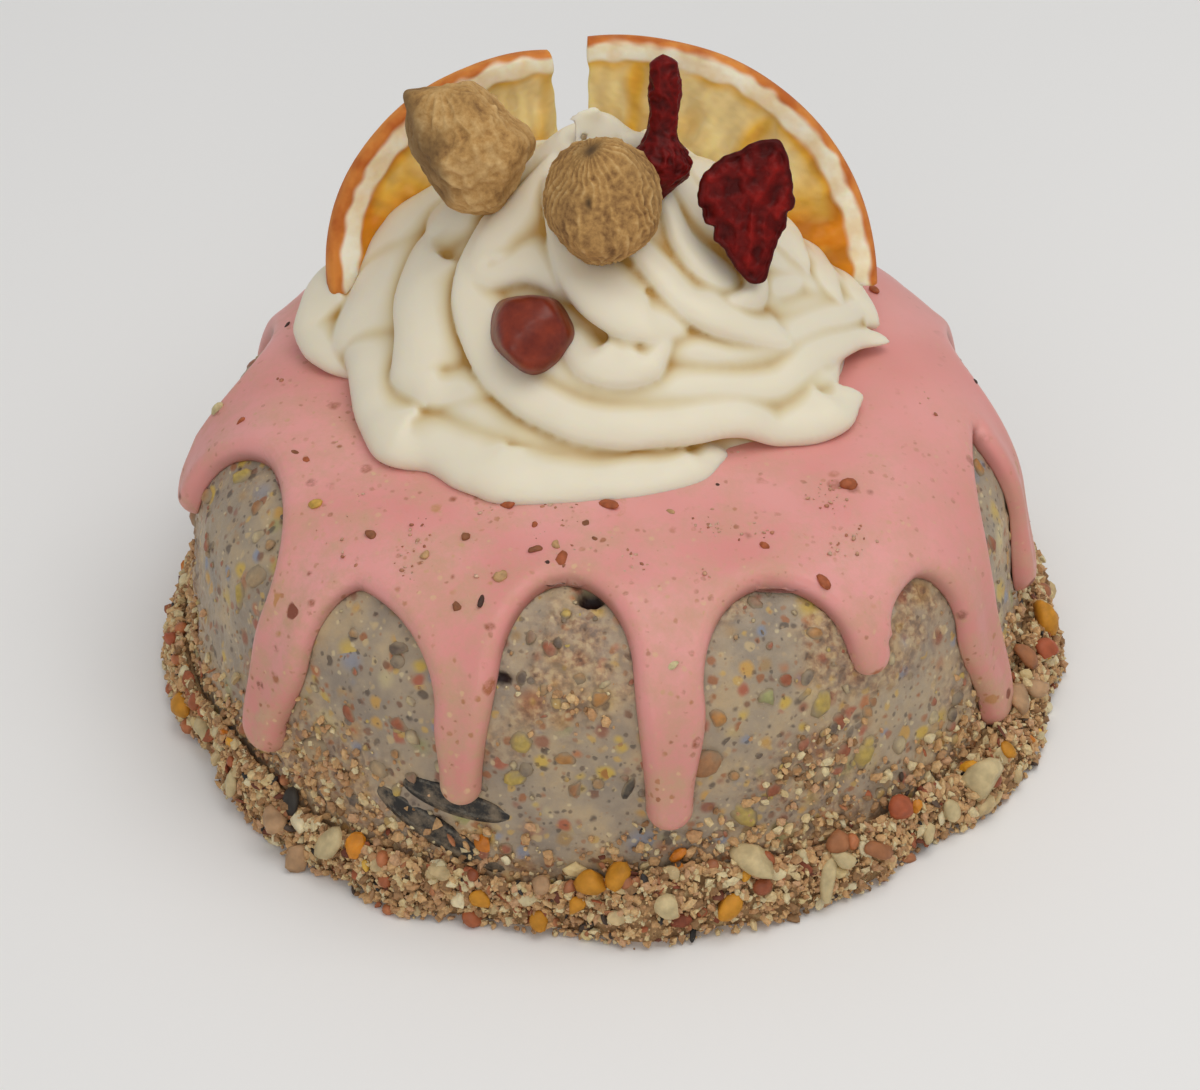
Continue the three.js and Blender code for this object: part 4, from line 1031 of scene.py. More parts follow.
def fold(knots, wide=1.15, thick=0.54, tilt=33, steps=16, sides=40):
    """A closed, round-ended ribbon whose lower edge runs along a smooth curve through its knots.

    The curve is a Catmull-Rom spline. The section is a drop of half-width wide and half-thickness
    thick times the knots' size, round at the lower edge and thin at the upper one. It is turned by
    tilt degrees so that the lower edge stands off the fold below it.
    """
    knots = np.array(knots, float)
    knots = np.concatenate([[2 * knots[0] - knots[1]], knots, [2 * knots[-1] - knots[-2]]])
    a, b, c, d = knots[:-3, None], knots[1:-2, None], knots[2:-1, None], knots[3:, None]
    t = np.linspace(0, 1, steps, endpoint=False)[None, :, None]
    curve = b + (c - a) * t / 2 + (a - 2.5 * b + 2 * c - d / 2) * t**2 + (1.5 * (b - c) + (d - a) / 2) * t**3
    azimuth, height, size, depth = np.concatenate([curve.reshape(-1, 4), knots[-2:-1]]).T
    path = on_heap(azimuth, height, depth)
    along = np.gradient(path, axis=0)
    along /= np.linalg.norm(along, axis=1)[:, None]
    cap = np.linspace(0, np.pi / 2, FOLD_CAP + 1)[:-1]
    start = path[0] - along[0] * (size[0] * np.cos(cap))[:, None]
    end = path[-1] + along[-1] * (size[-1] * np.cos(cap[::-1]))[:, None]
    path = np.concatenate([start, path, end])
    along = np.concatenate(
        [np.repeat(along[:1], FOLD_CAP, 0), along, np.repeat(along[-1:], FOLD_CAP, 0)]
    )
    size = np.concatenate([size[0] * np.sin(cap), size, size[-1] * np.sin(cap[::-1])])
    # Outward is away from the leaning heap's middle and a little upwards.
    outward = path - [0, HEAP_MIDDLE, 0]
    outward -= [0, HEAP_LEAN, 0] * (path[:, 2:] - HEAP_BASE)
    outward[:, 2] = 0.45 * np.linalg.norm(outward[:, :2], axis=1)
    edge = np.cross(along, outward)
    edge /= np.linalg.norm(edge, axis=1)[:, None]
    off = np.cross(edge, along)
    lift = np.radians(tilt)
    long_way = (edge * np.cos(lift) + off * np.sin(lift))[:, None]
    thin_way = (off * np.cos(lift) - edge * np.sin(lift))[:, None]
    angle = np.linspace(0, 2 * np.pi, sides, endpoint=False)[None, :, None]
    narrowing = np.sqrt(0.5 + 0.5 * np.cos(angle))
    ring = long_way * wide * (np.cos(angle) - 0.9) + thin_way * thick * np.sin(angle) * narrowing
    return (path[:, None] + ring * size[:, None, None]), quads(len(path), sides, wrap=True)


def averaged(values, edges, rounds):
    """Each point's values replaced, a number of times, by the mean of its neighbours' values."""
    here = np.concatenate([edges[:, 0], edges[:, 1]])
    there = np.concatenate([edges[:, 1], edges[:, 0]])
    joined = np.bincount(here, minlength=len(values))[:, None]
    for _ in range(rounds):
        sums = [np.bincount(here, weights=column[there], minlength=len(values)) for column in values.T]
        values = np.stack(sums, -1) / joined
    return values


# Whipped cream with a little butter in it: matt to silky ivory, light gets into it, and the valleys
# between the folds are painted darker and yellower as painted shade.
cream, tree, where, shader = finish_named("whipped_cream")
# Painted shade: the ramp makes the cream darker and yellower where its skin is hollow, in the valleys.
hollow = add(tree, "Attribute", attribute_name="hollow")
depth = add(
    tree,
    "ValToRGB",
    {0: hollow.outputs["Fac"]},
    stops=[(0.3, "#e8dfc8"), (0.95, "#b98e44"), (0.55, "#dbcba4")],
)
tree.links.new(depth.outputs[0], shader.inputs["Base Color"])
silk = add(tree, "TexNoise", {"Vector": where, "Scale": 1 / 2.5, "Detail": 3.0})
rough = add(tree, "MapRange", {0: silk.outputs[0], 1: 0.3, 2: 0.7, 3: 0.38, 4: 0.52})
tree.links.new(rough.outputs[0], shader.inputs["Roughness"])
bump = add(tree, "Bump", {"Height": silk.outputs[0], "Strength": 0.12, "Distance": 0.0004})
tree.links.new(bump.outputs[0], shader.inputs["Normal"])
shader.inputs["IOR"].default_value = 1.45
shader.inputs["Subsurface Weight"].default_value = 0.4
shader.inputs["Subsurface Radius"].default_value = (1.0, 0.7, 0.3)
shader.inputs["Subsurface Scale"].default_value = 0.0025

points, faces, used = [], [], 0
height = np.linspace(CORE_BOTTOM, CORE_TOP, CORE_RINGS)
height = np.concatenate([[CORE_BOTTOM], height, [CORE_TOP]])[:, None]
around = np.linspace(0, 360, CORE_COLUMNS, endpoint=False)[None]
core = on_heap(around, height, FILLING_DEPTH)
core[[0, -1]] = core[[0, -1]].mean(1, keepdims=True)  # each end closes at one point
core_faces = quads(CORE_RINGS + 2, CORE_COLUMNS, wrap=True)
for shape, mesh_faces in [(core, core_faces)] + [fold(knots) for knots in FOLDS]:
    points.append(shape.reshape(-1, 3))
    faces.append(mesh_faces + used)
    used += len(points[-1])
swirl = piece(
    "piped_cream",
    np.concatenate(points),
    np.concatenate(faces),
    cream,
    "cream",
    stands_for=["cream_swirl"],
)

# The folds and the core become one skin, eased a little where they meet. Each point's painted shade
# is set by how hollow the skin is there: how far out of it the mean of its neighbours lies, near and wide.
blend_folds = swirl.modifiers.new("one_body", "REMESH")
blend_folds.mode = "VOXEL"
blend_folds.voxel_size = CREAM_VOXEL * MM
blend_folds.use_smooth_shade = True
bpy.context.view_layer.update()
settled = bpy.data.meshes.new_from_object(swirl.evaluated_get(bpy.context.evaluated_depsgraph_get()))
swirl.modifiers.clear()
swirl.data = settled
corners = np.zeros(len(settled.vertices) * 3)
settled.vertices.foreach_get("co", corners)
corners = corners.reshape(-1, 3) / MM
edges = np.zeros(len(settled.edges) * 2, np.int32)
settled.edges.foreach_get("vertices", edges)
edges = edges.reshape(-1, 2)
corners = averaged(corners, edges, EASE_ROUNDS)
outward = np.zeros(len(corners) * 3)
settled.vertices.foreach_set("co", (corners * MM).ravel())
settled.update()
settled.vertices.foreach_get("normal", outward)
outward = outward.reshape(-1, 3)
near = ((averaged(corners, edges, NEAR_ROUNDS) - corners) * outward).sum(1)
wide = ((averaged(corners, edges, WIDE_ROUNDS) - corners) * outward).sum(1)
hollow = np.clip(0.36 + 0.9 * near + 0.25 * wide, 0, 1)
corners = corners + outward * (0.12 * ripples(corners, 7, 61))[:, None]
settled.vertices.foreach_set("co", (corners * MM).ravel())
settled.attributes.new("hollow", "FLOAT", "POINT").data.foreach_set("value", hollow.astype(np.float32))
settled.polygons.foreach_set("use_smooth", np.ones(len(settled.polygons), bool))
settled.materials.clear()
settled.materials.append(cream)
settled.update()

# ---- dried orange quarters ----
# Two quarters of slices of orange, dried until stiff, stood in the cream behind everything else. The
# rind is a thin orange skin over spongy white pith; the flesh has shrunk between its thin walls.
SLICE_THICKNESS = 3.2
SLICE_ROWS, SLICE_COLUMNS = 110, 150
# The flesh's sacs are ripples of 5 mm units towards the middle and of a 20th of a radian across.
SAC_LENGTH, SACS_PER_RADIAN = 5, 20


def turned(points, at, turn):
    """Points turned about x, then y, then z, by degrees, and moved to their place."""
    x, y, z = np.radians(turn)
    about_x = np.array([[1, 0, 0], [0, np.cos(x), -np.sin(x)], [0, np.sin(x), np.cos(x)]])
    about_y = np.array([[np.cos(y), 0, np.sin(y)], [0, 1, 0], [-np.sin(y), 0, np.cos(y)]])
    about_z = np.array([[np.cos(z), -np.sin(z), 0], [np.sin(z), np.cos(z), 0], [0, 0, 1]])
    return points @ (about_z @ about_y @ about_x).T + at


def orange_quarter(name, node, side, radius, centre, at, turn, rind, pith, walls, deep):
    """A quarter slice fanned out from the corner of its two cuts to the round rim.

    Along each angle from the corner the surface runs out to the rim of the circle round the slice's
    centre. rind is its width in mm at the level cut and at the upright one, pith the width inside
    it; walls are the angles of the segments' walls seen from the slice's centre; deep is the angle
    where the flesh is still yellow and the one where it is deep orange.
    """
    angle = np.linspace(0, np.pi / 2, SLICE_COLUMNS)[None]
    reach = (1 - (1 - np.linspace(0, 1, SLICE_ROWS)) ** 1.4)[:, None]
    dx, dz = np.cos(angle), np.sin(angle)
    along = centre[0] * dx + centre[1] * dz
    length = along + np.sqrt(along**2 - centre[0] ** 2 - centre[1] ** 2 + radius**2)
    ragged = 0.12 * np.sin(31 * reach) + 0.1 * np.sin(57 * reach + 2)
    x = length * reach * dx + ragged * (1 - smoothstep(0, 0.08, np.pi / 2 - angle)) * reach
    z = length * reach * dz
    off_x, off_z = x - centre[0], z - centre[1]
    to_rim = radius - np.hypot(off_x, off_z)
    seen = np.degrees(np.arctan2(off_z, off_x))
    wall_gap = np.min([np.abs(seen - wall) for wall in walls], 0)
    wall_gap = np.radians(wall_gap) * np.hypot(off_x, off_z)
    place = np.stack([x, 0 * x, z], -1)
    ruffle = 0.35 * ripples(place, 4.5, 71)
    rind = rind[0] + (rind[1] - rind[0]) * smoothstep(0, np.pi / 2, angle)
    rim_in = to_rim - pith - rind + ruffle
    flesh = smoothstep(-0.3, 0.6, rim_in)
    corner = smoothstep(0.0, 2.4, np.minimum(rim_in, wall_gap + 0.3 * ruffle))
    drawn_out = [np.hypot(off_x, off_z) / SAC_LENGTH, np.radians(seen) * SACS_PER_RADIAN, 0 * x]
    sac = ripples(np.stack(drawn_out, -1), 1.5, 77)
    sac = np.clip(0.5 + 0.5 * sac + 0.1 * ripples(place, 1.3, 78), 0, 1)
    half = SLICE_THICKNESS / 2 * (0.85 + 0.25 * smoothstep(7, 1, to_rim))
    half = half - flesh * (0.35 + 0.3 * corner) + 0.07 * ripples(place, 2.2, 72) * (0.5 + flesh)
    half = half + 0.16 * flesh * (sac - 0.5)
    from_rim = np.clip(to_rim / 0.9, 0, 1)
    half = half * np.sqrt(from_rim * (2 - from_rim) * 0.9 + 0.1)
    bow = 0.8 * np.sin(3.2 * angle) * reach + 0.5 * ripples(place, 22, 74) * reach
    front = np.stack([side * x, bow - half, z], -1)
    back = np.stack([side * x, bow + half, z], -1)
    rows, columns = x.shape
    index = np.arange(rows * columns).reshape(rows, columns)
    rim = np.concatenate([index[:, 0], index[-1, 1:], index[-2:0:-1, -1]])
    band = np.stack([rim, np.roll(rim, -1), np.roll(rim, -1) + rows * columns, rim + rows * columns], -1)
    faces = np.concatenate([quads(rows, columns), quads(rows, columns)[:, ::-1] + rows * columns, band])
    points = turned(np.concatenate([front.reshape(-1, 3), back.reshape(-1, 3)]), at, turn)
    peel = smoothstep(rind + 0.5, rind - 0.3, to_rim + 0.3 * ripples(place, 3, 75))
    ripe = smoothstep(*deep, seen) + 0.2 * ripples(place, 9, 76) + 0.45 * (1 - corner)
    fields = {"flesh": flesh, "peel": peel, "ripe": np.clip(ripe, 0, 1), "sac": sac}
    fields = {key: np.tile(value.ravel(), 2) for key, value in fields.items()}
    return piece(name, points, faces, dried_orange, "dried_orange", stands_for=[node], **fields)


# Sun-dried citrus: leathery orange rind, chalky cream pith, and amber flesh that is half clear, in
# fine drawn-out sacs pointing at the slice's middle.
dried_orange, tree, where, shader = finish_named("dried_orange_slice")
sacs = add(tree, "Attribute", attribute_name="sac")
drift = add(tree, "TexNoise", {"Vector": where, "Scale": 1 / 4.5, "Detail": 3.0})
ripe = add(tree, "Attribute", attribute_name="ripe")
flesh_colour = add(
    tree,
    "ValToRGB",
    {0: ripe.outputs["Fac"]},
    stops=[(0.05, "#eed698"), (0.95, "#db8a0c"), (0.5, "#eabb48")],
)
sac_colour = add(tree, "MapRange", {0: sacs.outputs["Fac"], 1: 0.1, 2: 0.9, 3: 0.84, 4: 1.1})
flesh_tone = add(
    tree, "VectorMath", {0: flesh_colour.outputs[0], "Scale": sac_colour.outputs[0]}, operation="SCALE"
)
pith_colour = add(
    tree, "ValToRGB", {0: drift.outputs[0]}, stops=[(0.35, "#efdcb4"), (0.65, "#fdf5e2")]
)
rind_colour = add(
    tree, "ValToRGB", {0: drift.outputs[0]}, stops=[(0.35, "#b9601a"), (0.65, "#d98a3a")]
)
flesh = add(tree, "Attribute", attribute_name="flesh")
peel = add(tree, "Attribute", attribute_name="peel")
inner = add(
    tree, "MixRGB", {0: flesh.outputs["Fac"], 1: pith_colour.outputs[0], 2: flesh_tone.outputs[0]}
)
whole = add(tree, "MixRGB", {0: peel.outputs["Fac"], 1: inner.outputs[0], 2: rind_colour.outputs[0]})
tree.links.new(whole.outputs[0], shader.inputs["Base Color"])
rough = add(tree, "MapRange", {0: flesh.outputs["Fac"], 1: 0.0, 2: 1.0, 3: 0.7, 4: 0.38})
tree.links.new(rough.outputs[0], shader.inputs["Roughness"])
relief = add(tree, "Math", {0: sacs.outputs["Fac"], 1: drift.outputs[0]}, operation="ADD")
bump = add(tree, "Bump", {"Height": relief.outputs[0], "Strength": 0.5, "Distance": 0.0004})
tree.links.new(bump.outputs[0], shader.inputs["Normal"])
shader.inputs["IOR"].default_value = 1.42
shader.inputs["Subsurface Weight"].default_value = 0.5
shader.inputs["Subsurface Radius"].default_value = (1.0, 0.7, 0.25)
shader.inputs["Subsurface Scale"].default_value = 0.003

orange_quarter(
    "orange_slice_left",
    "orange_quarter_left",
    side=-1,
    radius=32,
    centre=(6, 2.5),
    at=(-4.2, 25, 54),
    turn=(-15, 0, 18),
    rind=(1.9, 0.6),
    pith=2.7,
    walls=(22, 62, 100),
    deep=(70, 10),
)
orange_quarter(
    "orange_slice_right",
    "orange_quarter_right",
    side=1,
    radius=39.3,
    centre=(3.6, 0),
    at=(-1, 18.8, 54),
    turn=(-15, 0, 0),
    rind=(1.0, 0.55),
    pith=2.7,
    walls=(14, 48, 84),
    deep=(45, 5),
)

# ---- peanuts in their shells ----
# Two broken peanut shells set end up in the cream. The shell is dry tan fibre with fine ribs running
# from end to end and weak cross ribs between them; the left one is a crumpled broken half, painted darker at
# its left end as painted shade.
SHELL_LEAN = -34  # how far the shells lean back, in degrees about x
BALL_ROWS, BALL_COLUMNS = 141, 200
ball_across = np.linspace(0, 2 * np.pi, BALL_COLUMNS, endpoint=False)[None]
ball_down = np.linspace(0, np.pi, BALL_ROWS)[:, None]
ball_x = np.sin(ball_down) * np.cos(ball_across)
ball_y = np.sin(ball_down) * np.sin(ball_across)
unit_ball = np.stack([ball_x, ball_y, np.cos(ball_down) + 0 * ball_across], -1)
ball_faces = quads(BALL_ROWS, BALL_COLUMNS, wrap=True)

# Dry hull fibre: matt, pale on the ribs and brown in the pits as painted light and shade on the relief,
# grey-brown where soil stained it, and grey-brown as painted shade on the left shell's left end.
peanut_shell, tree, where, shader = finish_named("dry_peanut_shell")
# Painted light and shade: the colour follows the relief, pale on the ribs and crumples, brown in the pits.
rib = add(tree, "Attribute", attribute_name="rib")
fibre = add(tree, "TexNoise", {"Vector": where, "Scale": 1 / 0.8, "Detail": 6.0, "Roughness": 0.7})
patches = add(tree, "TexNoise", {"Vector": where, "Scale": 1 / 5, "Detail": 3.0})
lit_rib = add(tree, "MixRGB", {0: 0.6, 1: rib.outputs["Fac"], 2: fibre.outputs[0]})
lit_rib = add(tree, "MixRGB", {0: 0.3, 1: lit_rib.outputs[0], 2: patches.outputs[0]})
shell_colour = add(
    tree,
    "ValToRGB",
    {0: lit_rib.outputs[0]},
    stops=[(0.3, "#7d5935"), (0.68, "#dfba80"), (0.47, "#bb9056")],
)
stain = add(tree, "Attribute", attribute_name="stain")
stained = add(
    tree, "MixRGB", {0: stain.outputs["Fac"], 1: shell_colour.outputs[0], 2: "#5a452e"}
)
tree.links.new(stained.outputs[0], shader.inputs["Base Color"])
shader.inputs["Roughness"].default_value = 0.85
shader.inputs["Specular IOR Level"].default_value = 0.25
bump = add(tree, "Bump", {"Height": fibre.outputs[0], "Strength": 0.7, "Distance": 0.0004})
tree.links.new(bump.outputs[0], shader.inputs["Normal"])


def rounded_stone(ball, flats, power):
    """The radius of a body bounded by flats, in each direction of the ball.

    A flat is a direction and its distance from the middle; the radius is the p-norm, of a power, of
    how steeply each direction runs at each flat over its distance, which rounds the edges.
    """
    flats = np.array(flats, float)
    facing = flats[:, :3] / np.linalg.norm(flats[:, :3], axis=1)[:, None]
    steep = np.maximum(0, ball @ facing.T) / flats[:, 3]
    return (steep**power).sum(-1) ** (-1 / power)


def drawn_out_to(radius, at, turn):
    """The ball drawn out to a radius in each direction, turned and moved to its place."""
    return turned((unit_ball * radius[..., None]).reshape(-1, 3), at, turn)


def net(ball, pole, ribs, seed):
    """How high each point lies on the shell's net, 0 to 1: ribs run out from the pole to its far end,
    wandering a little, and weaker cross ribs join them."""
    pole = np.array(pole) / np.linalg.norm(pole)
    first = np.cross(pole, [0.3, 1.0, 0.2])
    first /= np.linalg.norm(first)
    second = np.cross(pole, first)
    turn = np.arctan2(ball @ second, ball @ first)
    fall = np.arccos(np.clip(ball @ pole, -1, 1))
    wander = 0.1 * ripples(ball, 0.9, seed) + 0.04 * ripples(ball, 0.3, seed + 3)
    lengthwise = 1 - np.abs(np.sin(ribs / 2 * (turn + wander)))
    cross = 1 - np.abs(np.sin(6 * fall + 2.4 * ripples(ball, 0.6, seed + 1)))
    fine = np.clip(0.5 + 0.5 * ripples(ball, 0.16, seed + 2, 40), 0, 1)
    faded = smoothstep(0.05, 0.25, np.minimum(fall, np.pi - fall))
    faded = faded * np.clip(0.65 + 0.5 * ripples(ball, 0.8, seed + 4), 0.15, 1)
    return np.clip((0.7 * lengthwise**1.5 + 0.18 * cross**2) * faded + 0.28 * fine, 0, 1), fall


# The right one, whole at this end: a dark scar where its stalk was, and a small soil-stained pit.
ridge, fall = net(unit_ball, pole=(-0.2, -0.62, 1.0), ribs=26, seed=81)
scar = np.exp(-((fall / 0.17) ** 2))
from_spot = (unit_ball - [-0.28, -0.96, -0.05]) * [1.6, 1, 0.8]
spot = np.exp(-((np.linalg.norm(from_spot, axis=-1) / 0.1) ** 2))
body = rounded_stone(
    unit_ball,
    [
        (1, -0.2, 0.1, 8.0),
        (-1, -0.2, 0.25, 7.7),
        (0.1, -0.1, -1, 9.0),
        (-0.35, -0.1, 1, 8.9),
        (0.6, -0.1, 0.8, 8.8),
        (-0.75, -0.1, -0.65, 8.4),
        (0.7, 0, -0.7, 9.2),
        (0, -1, 0.1, 7.4),
        (0.6, -0.8, -0.2, 7.5),
        (-0.6, -0.8, 0.2, 7.5),
        (0, 1, 0, 4.8),
    ],
    power=7,
)
body = body * (1 + 0.02 * ripples(unit_ball, 1.2, 84)) + 0.55 * (ridge - 0.5) - 0.6 * scar - 0.5 * spot
piece(
    "peanut_right",
    drawn_out_to(body, (0.6, -1.6, 83.2), (SHELL_LEAN, 0, 0)),
    ball_faces,
    peanut_shell,
    "peanut_shell",
    stands_for=["peanut_shell_right"],
    rib=ridge,
    stain=np.clip(0.9 * scar + spot + 0.12 * ripples(unit_ball, 1.2, 85), 0, 1),
)

# The left one, crumpled: its ribs are faint, its colour is lighter on the crumples as painted light,
# and its left end is painted grey-brown as painted shade.
ridge, _ = net(unit_ball, pole=(-0.5, -0.2, 1.0), ribs=17, seed=91)
crumple = 0.35 * ripples(unit_ball, 0.75, 92)
crumple = crumple + 0.2 * ripples(unit_ball, 0.35, 93) + 0.12 * ripples(unit_ball, 0.2, 94)
body = rounded_stone(
    unit_ball,
    [
        (0.71, -0.2, 0.71, 6.3),
        (0.88, -0.1, -0.48, 7.5),
        (-0.19, -0.2, -0.98, 8.5),
        (-0.84, -0.2, -0.54, 7.3),
        (-1, -0.1, -0.12, 9.0),
        (-0.1, -0.1, 1, 9.2),
        (0.35, -0.9, 0.25, 6.6),
        (-0.5, -0.85, 0.25, 6.8),
        (-0.1, -0.9, -0.5, 6.9),
        (0, 1, 0, 6.0),
    ],
    power=11,
)
body = body + crumple + 0.35 * (ridge - 0.5)
# Painted shade: the shell's left end is tinted grey-brown.
to_the_right = unit_ball[..., 0] + 0.25 * unit_ball[..., 2] + 0.12 * ripples(unit_ball, 1.0, 95)
shade = smoothstep(-0.45, -0.85, to_the_right)
piece(
    "peanut_left",
    drawn_out_to(body, (-17.8, 8.4, 86.3), (SHELL_LEAN, 0, 0)),
    ball_faces,
    peanut_shell,
    "peanut_shell",
    stands_for=["peanut_shell_left"],
    rib=np.clip(0.45 * ridge + 0.35 + 0.5 * crumple, 0, 1),
    stain=np.clip(0.6 * shade + 0.1 * ripples(unit_ball, 0.6, 96), 0, 1),
)

# ---- skinned kernel ----
# One peanut kernel in its papery red-brown skin, pushed into the cream below the shells. It has
# blunt flats from being pressed against its neighbour in the shell, and rounded edges.
KERNEL_LEAN = -39  # in degrees about x

# Thin dry skin drawn tight: silky, red-brown, with faint darker veins.
papery_skin, tree, where, shader = finish_named("papery_peanut_skin")
vein = add(tree, "TexNoise", {"Vector": where, "Scale": 1 / 3.0, "Detail": 5.0, "Roughness": 0.6})
skin_colour = add(
    tree, "ValToRGB", {0: vein.outputs[0]}, stops=[(0.3, "#621a09"), (0.7, "#8a3116")]
)
tree.links.new(skin_colour.outputs[0], shader.inputs["Base Color"])
shader.inputs["Roughness"].default_value = 0.36
shader.inputs["Specular IOR Level"].default_value = 0.4
bump = add(tree, "Bump", {"Height": vein.outputs[0], "Strength": 0.15, "Distance": 0.0004})
tree.links.new(bump.outputs[0], shader.inputs["Normal"])
body = rounded_stone(
    unit_ball,
    [
        (0.05, 0, 1, 5.6),
        (0.86, -0.2, 0.5, 5.6),
        (0.83, -0.2, -0.56, 5.8),
        (0.25, -0.1, -1, 6.0),
        (-0.75, -0.1, -0.8, 5.1),
        (-1, -0.2, 0.1, 5.7),
        (-0.7, -0.2, 0.75, 6.6),
        (-0.3, -1, 0.55, 5.4),
        (0.4, -1, -0.3, 5.4),
        (0, 1, 0, 6.4),
    ],
    power=8,
)
body = body * (1 + 0.012 * ripples(unit_ball, 1.2, 97) + 0.004 * ripples(unit_ball, 0.3, 98))
piece(
    "red_skinned_kernel",
    drawn_out_to(body, (-9.9, -10.8, 66.5), (KERNEL_LEAN, 0, 0)),
    ball_faces,
    papery_skin,
    "peanut_skin",
    stands_for=["peanut_kernel"],
)

# ---- dried cranberries ----
# Two sweetened cranberries, dried to leathery wrinkled skins: one stands with its thin end up, the
# other is a flat half, fanned out, with a notch at its left and a tail that rests on the cream.
SPINDLE_HALF_LENGTH = 10.6
SPINDLE_STALK = 2.0  # radius of its thin upper half

# Leathery: nearly black in the creases as painted shade, and wine red on the crests as painted light,
# for light that passes through a crest.
cranberry_skin, tree, where, shader = finish_named("dried_cranberry_skin")
# Painted shade and light: the colour follows the wrinkles, dark in the creases and red on the crests.
wrinkle = add(tree, "Attribute", attribute_name="wrinkle")
leather = add(tree, "TexNoise", {"Vector": where, "Scale": 1 / 1.1, "Detail": 4.0})
both = add(tree, "MixRGB", {0: 0.5, 1: wrinkle.outputs["Fac"], 2: leather.outputs[0]})
berry_colour = add(
    tree,
    "ValToRGB",
    {0: both.outputs[0]},
    stops=[(0.25, "#460806"), (0.85, "#8c1712"), (0.52, "#660c09")],
)
tree.links.new(berry_colour.outputs[0], shader.inputs["Base Color"])
shader.inputs["Roughness"].default_value = 0.42
shader.inputs["Specular IOR Level"].default_value = 0.12
bump = add(tree, "Bump", {"Height": leather.outputs[0], "Strength": 0.5, "Distance": 0.0005})
tree.links.new(bump.outputs[0], shader.inputs["Normal"])


def wrinkles(points, seed):
    """Folds of a shrunken skin, 0 in a crease to 1 on a crest: ridged noise at two sizes."""
    broad = 1 - np.abs(ripples(points, 0.9, seed))
    small = 1 - np.abs(ripples(points, 0.38, seed + 1))
    return np.clip(0.55 * broad + 0.45 * small, 0, 1)


# The upright one: thin for its upper half, then swelling out and closing to a point in the cream.
down = (1 - unit_ball[..., 2]) / 2
swell = SPINDLE_STALK + 0.45 * np.exp(-(((down - 0.26) / 0.14) ** 2))
swell = swell + 2.7 * np.exp(-(((down - 0.76) / 0.16) ** 2))
spindle = np.stack([ball_x * swell / 4, ball_y * swell / 4, 2.6 * unit_ball[..., 2]], -1)
fold_height = wrinkles(spindle, 101)
swell = swell / np.sqrt(np.maximum(4 * down * (1 - down), 0.02)) * (1 + 0.15 * (fold_height - 0.65))
swell = swell * np.sqrt(smoothstep(0, 0.07, down) * smoothstep(1.0, 0.84, down) + 0.001)
shape = unit_ball * np.stack([swell, 0.8 * swell, SPINDLE_HALF_LENGTH + 0 * swell], -1)
shape[..., 0] += 0.5 * np.sin(5 * down + 0.6)
piece(
    "cranberry_spindle",
    turned(shape.reshape(-1, 3), (9.6, 9.7, 88.1), (-30, 0, 0)),
    ball_faces,
    cranberry_skin,
    "dried_cranberry",
    stands_for=["cranberry_left"],
    wrinkle=0.7 * fold_height,
)

# The flat half: its outline has a corner at the upper right, a tail and a notch, its rim is thin and
# dark, and ridges fan out from the tail. Each bump: how far out, at which angle, how wide.
HALF_RADIUS, HALF_RISE = 6.3, 2.0  # the rise makes its upper half taller
HALF_THICKNESS = 4.6
HALF_BUMPS = [(2.9, 68, 20), (4.4, 281, 22), (-1.1, 211, 9)]
round_it = np.linspace(0, 360, 240, endpoint=False)[None]
outline = HALF_RADIUS + HALF_RISE * np.sqrt(np.maximum(0, np.sin(np.radians(round_it))))
for reach, at_angle, wide in HALF_BUMPS:
    outline = outline + reach * np.exp(-(((round_it - at_angle) / wide) ** 2))
outline = outline + 0.08 * np.sin(np.radians(13 * round_it)) + 0.05 * np.sin(np.radians(29 * round_it))
front_to_rim, rim_to_back = np.linspace(0, np.pi / 2, 60), np.linspace(np.pi / 2, 0, 40)[1:]
out = np.concatenate([np.sin(front_to_rim), np.sin(rim_to_back)])[:, None]
side = np.concatenate([-np.cos(front_to_rim), np.cos(rim_to_back)])[:, None]
flat_x = outline * out * np.cos(np.radians(round_it))
flat_z = outline * out * np.sin(np.radians(round_it))
flat = np.stack([flat_x, 0 * flat_x, flat_z], -1)
from_tail = flat - [0.6, 0, -12.5]
fan = np.arctan2(from_tail[..., 0], from_tail[..., 2])
rays = 1 - np.abs(np.sin(11 * fan + 0.8 * ripples(flat, 6, 107)))
lumpy = 0.5 + 0.5 * ripples(flat, 3.4, 108) + 0.18 * ripples(flat, 1.3, 106)
fold_height = np.clip(0.35 * rays + 0.65 * lumpy, 0, 1)
rim = smoothstep(0.86, 0.97, out)
facing = side < 0
flat[..., 1] = side * HALF_THICKNESS / 2 + facing * (0.7 * (1 - out**2) - 0.4 * rim)
flat[..., 1] = flat[..., 1] - 0.8 * (fold_height - 0.5) * (1 - rim)
flat = flat * (1 + 0.015 * (ripples(flat, 3.5, 109) * out)[..., None])
piece(
    "cranberry_half",
    turned(flat.reshape(-1, 3), (21.3, 0.9, 79.4), (-32, 4, 0)),
    quads(*flat.shape[:2], wrap=True),
    cranberry_skin,
    "dried_cranberry",
    stands_for=["cranberry_right"],
    wrinkle=np.clip(fold_height * (1 - 0.8 * rim), 0, 1),
)

# ---- table, light and camera ----
# A plain pale table that runs up into a pale backdrop, under one wide soft light from above, with a
# second soft one from the front.
TABLE_SIDES, TABLE_FRONT, TABLE_BACK = 900, -900, 1500
CURVE_FROM = 700  # behind this the table curves up into the backdrop, as a parabola
TABLE_DROP = 0.05  # the table lies this far under the cake

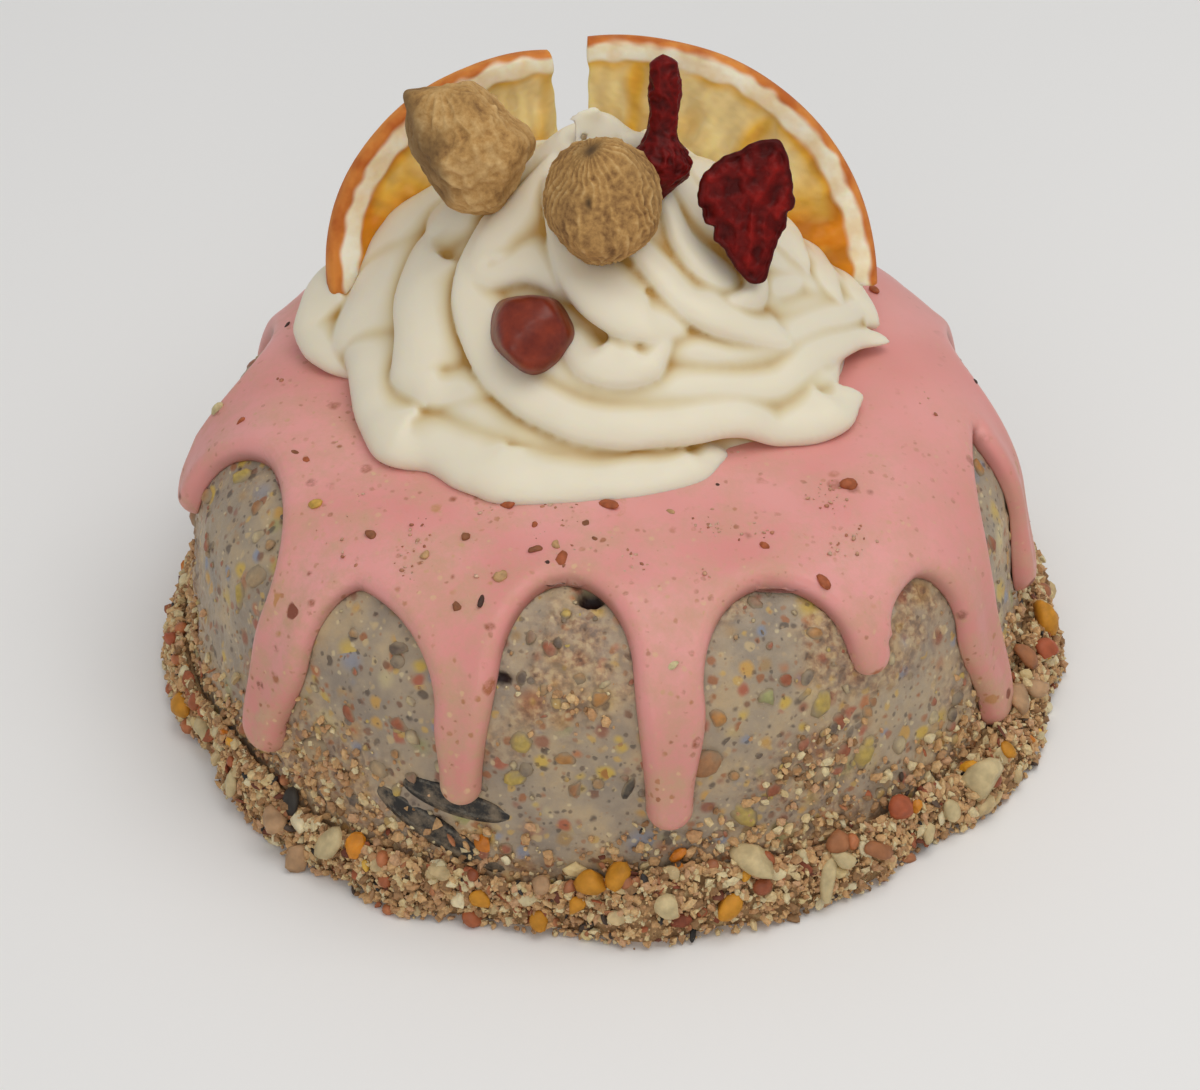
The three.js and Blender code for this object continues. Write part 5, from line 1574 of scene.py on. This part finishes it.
table, _, _, shader = finish_named("pale_table_paint")
shader.inputs["Base Color"].default_value = linear("#f2f1ef")
shader.inputs["Roughness"].default_value = 0.8
sweep = np.linspace(-TABLE_SIDES, TABLE_SIDES, 61)[:, None]
run = np.linspace(TABLE_FRONT, TABLE_BACK, 161)[None]
rise = np.maximum(0, run - CURVE_FROM) ** 2 / CURVE_FROM
floor_points = np.stack([sweep + 0 * run, run + 0 * sweep, rise + 0 * sweep - TABLE_DROP], -1)
floor_faces = quads(*floor_points.shape[:2])[:, ::-1]
mesh = bpy.data.meshes.new("table_and_backdrop")
mesh.from_pydata((floor_points.reshape(-1, 3) * MM).tolist(), [], floor_faces.tolist())
mesh.polygons.foreach_set("use_smooth", np.ones(len(mesh.polygons), bool))
mesh.materials.append(table)
backdrop = bpy.data.objects.new("table_and_backdrop", mesh)
bpy.context.scene.collection.objects.link(backdrop)

scene = bpy.context.scene
scene.view_settings.view_transform = "Standard"
world = bpy.data.worlds.new("soft_room")
world.use_nodes = True
world.node_tree.nodes["Background"].inputs[0].default_value = linear("#f4f6fa")
world.node_tree.nodes["Background"].inputs[1].default_value = 0.5
scene.world = world


def soft_light(name, place, aim, size, power, colour):
    """A square soft light at a place, turned to face the point it is aimed at."""
    data = bpy.data.lights.new(name, "AREA")
    data.size = size
    data.energy = power
    data.color = linear(colour)[:3]
    lamp = bpy.data.objects.new(name, data)
    lamp.location = place
    heading = np.array(aim) - np.array(place)
    down = np.arctan2(np.hypot(heading[0], heading[1]), -heading[2])
    lamp.rotation_euler = (down, 0, np.arctan2(heading[1], heading[0]) - np.pi / 2)
    scene.collection.objects.link(lamp)


soft_light("overhead", (0.2, -0.05, 0.72), (0, 0, 0.05), 0.6, 2.3, "#fffdf8")
soft_light("front", (-0.1, -0.75, 0.42), (0, 0, 0.05), 0.5, 1.05, "#fff8f0")

CAMERA_PLACE = (-0.0007, -0.5491, 0.4519)
CAMERA_TILT = np.radians(38.25)  # down from level
CAMERA_ROLL = np.radians(1.2)  # its right side is this far down
lens = bpy.data.cameras.new("camera")
lens.sensor_width = 36
lens.lens = 137.6
lens.clip_start = 0.05
camera = bpy.data.objects.new("camera", lens)
look = np.array([0, np.cos(CAMERA_TILT), -np.sin(CAMERA_TILT)])
level_up = np.array([0, np.sin(CAMERA_TILT), np.cos(CAMERA_TILT)])
right = np.cos(CAMERA_ROLL) * np.array([1, 0, 0]) - np.sin(CAMERA_ROLL) * level_up
axes = np.stack([right, np.cross(right, look), -look], 1)
camera.matrix_world = Matrix.LocRotScale(CAMERA_PLACE, Matrix(axes.tolist()), None)
scene.collection.objects.link(camera)
scene.camera = camera
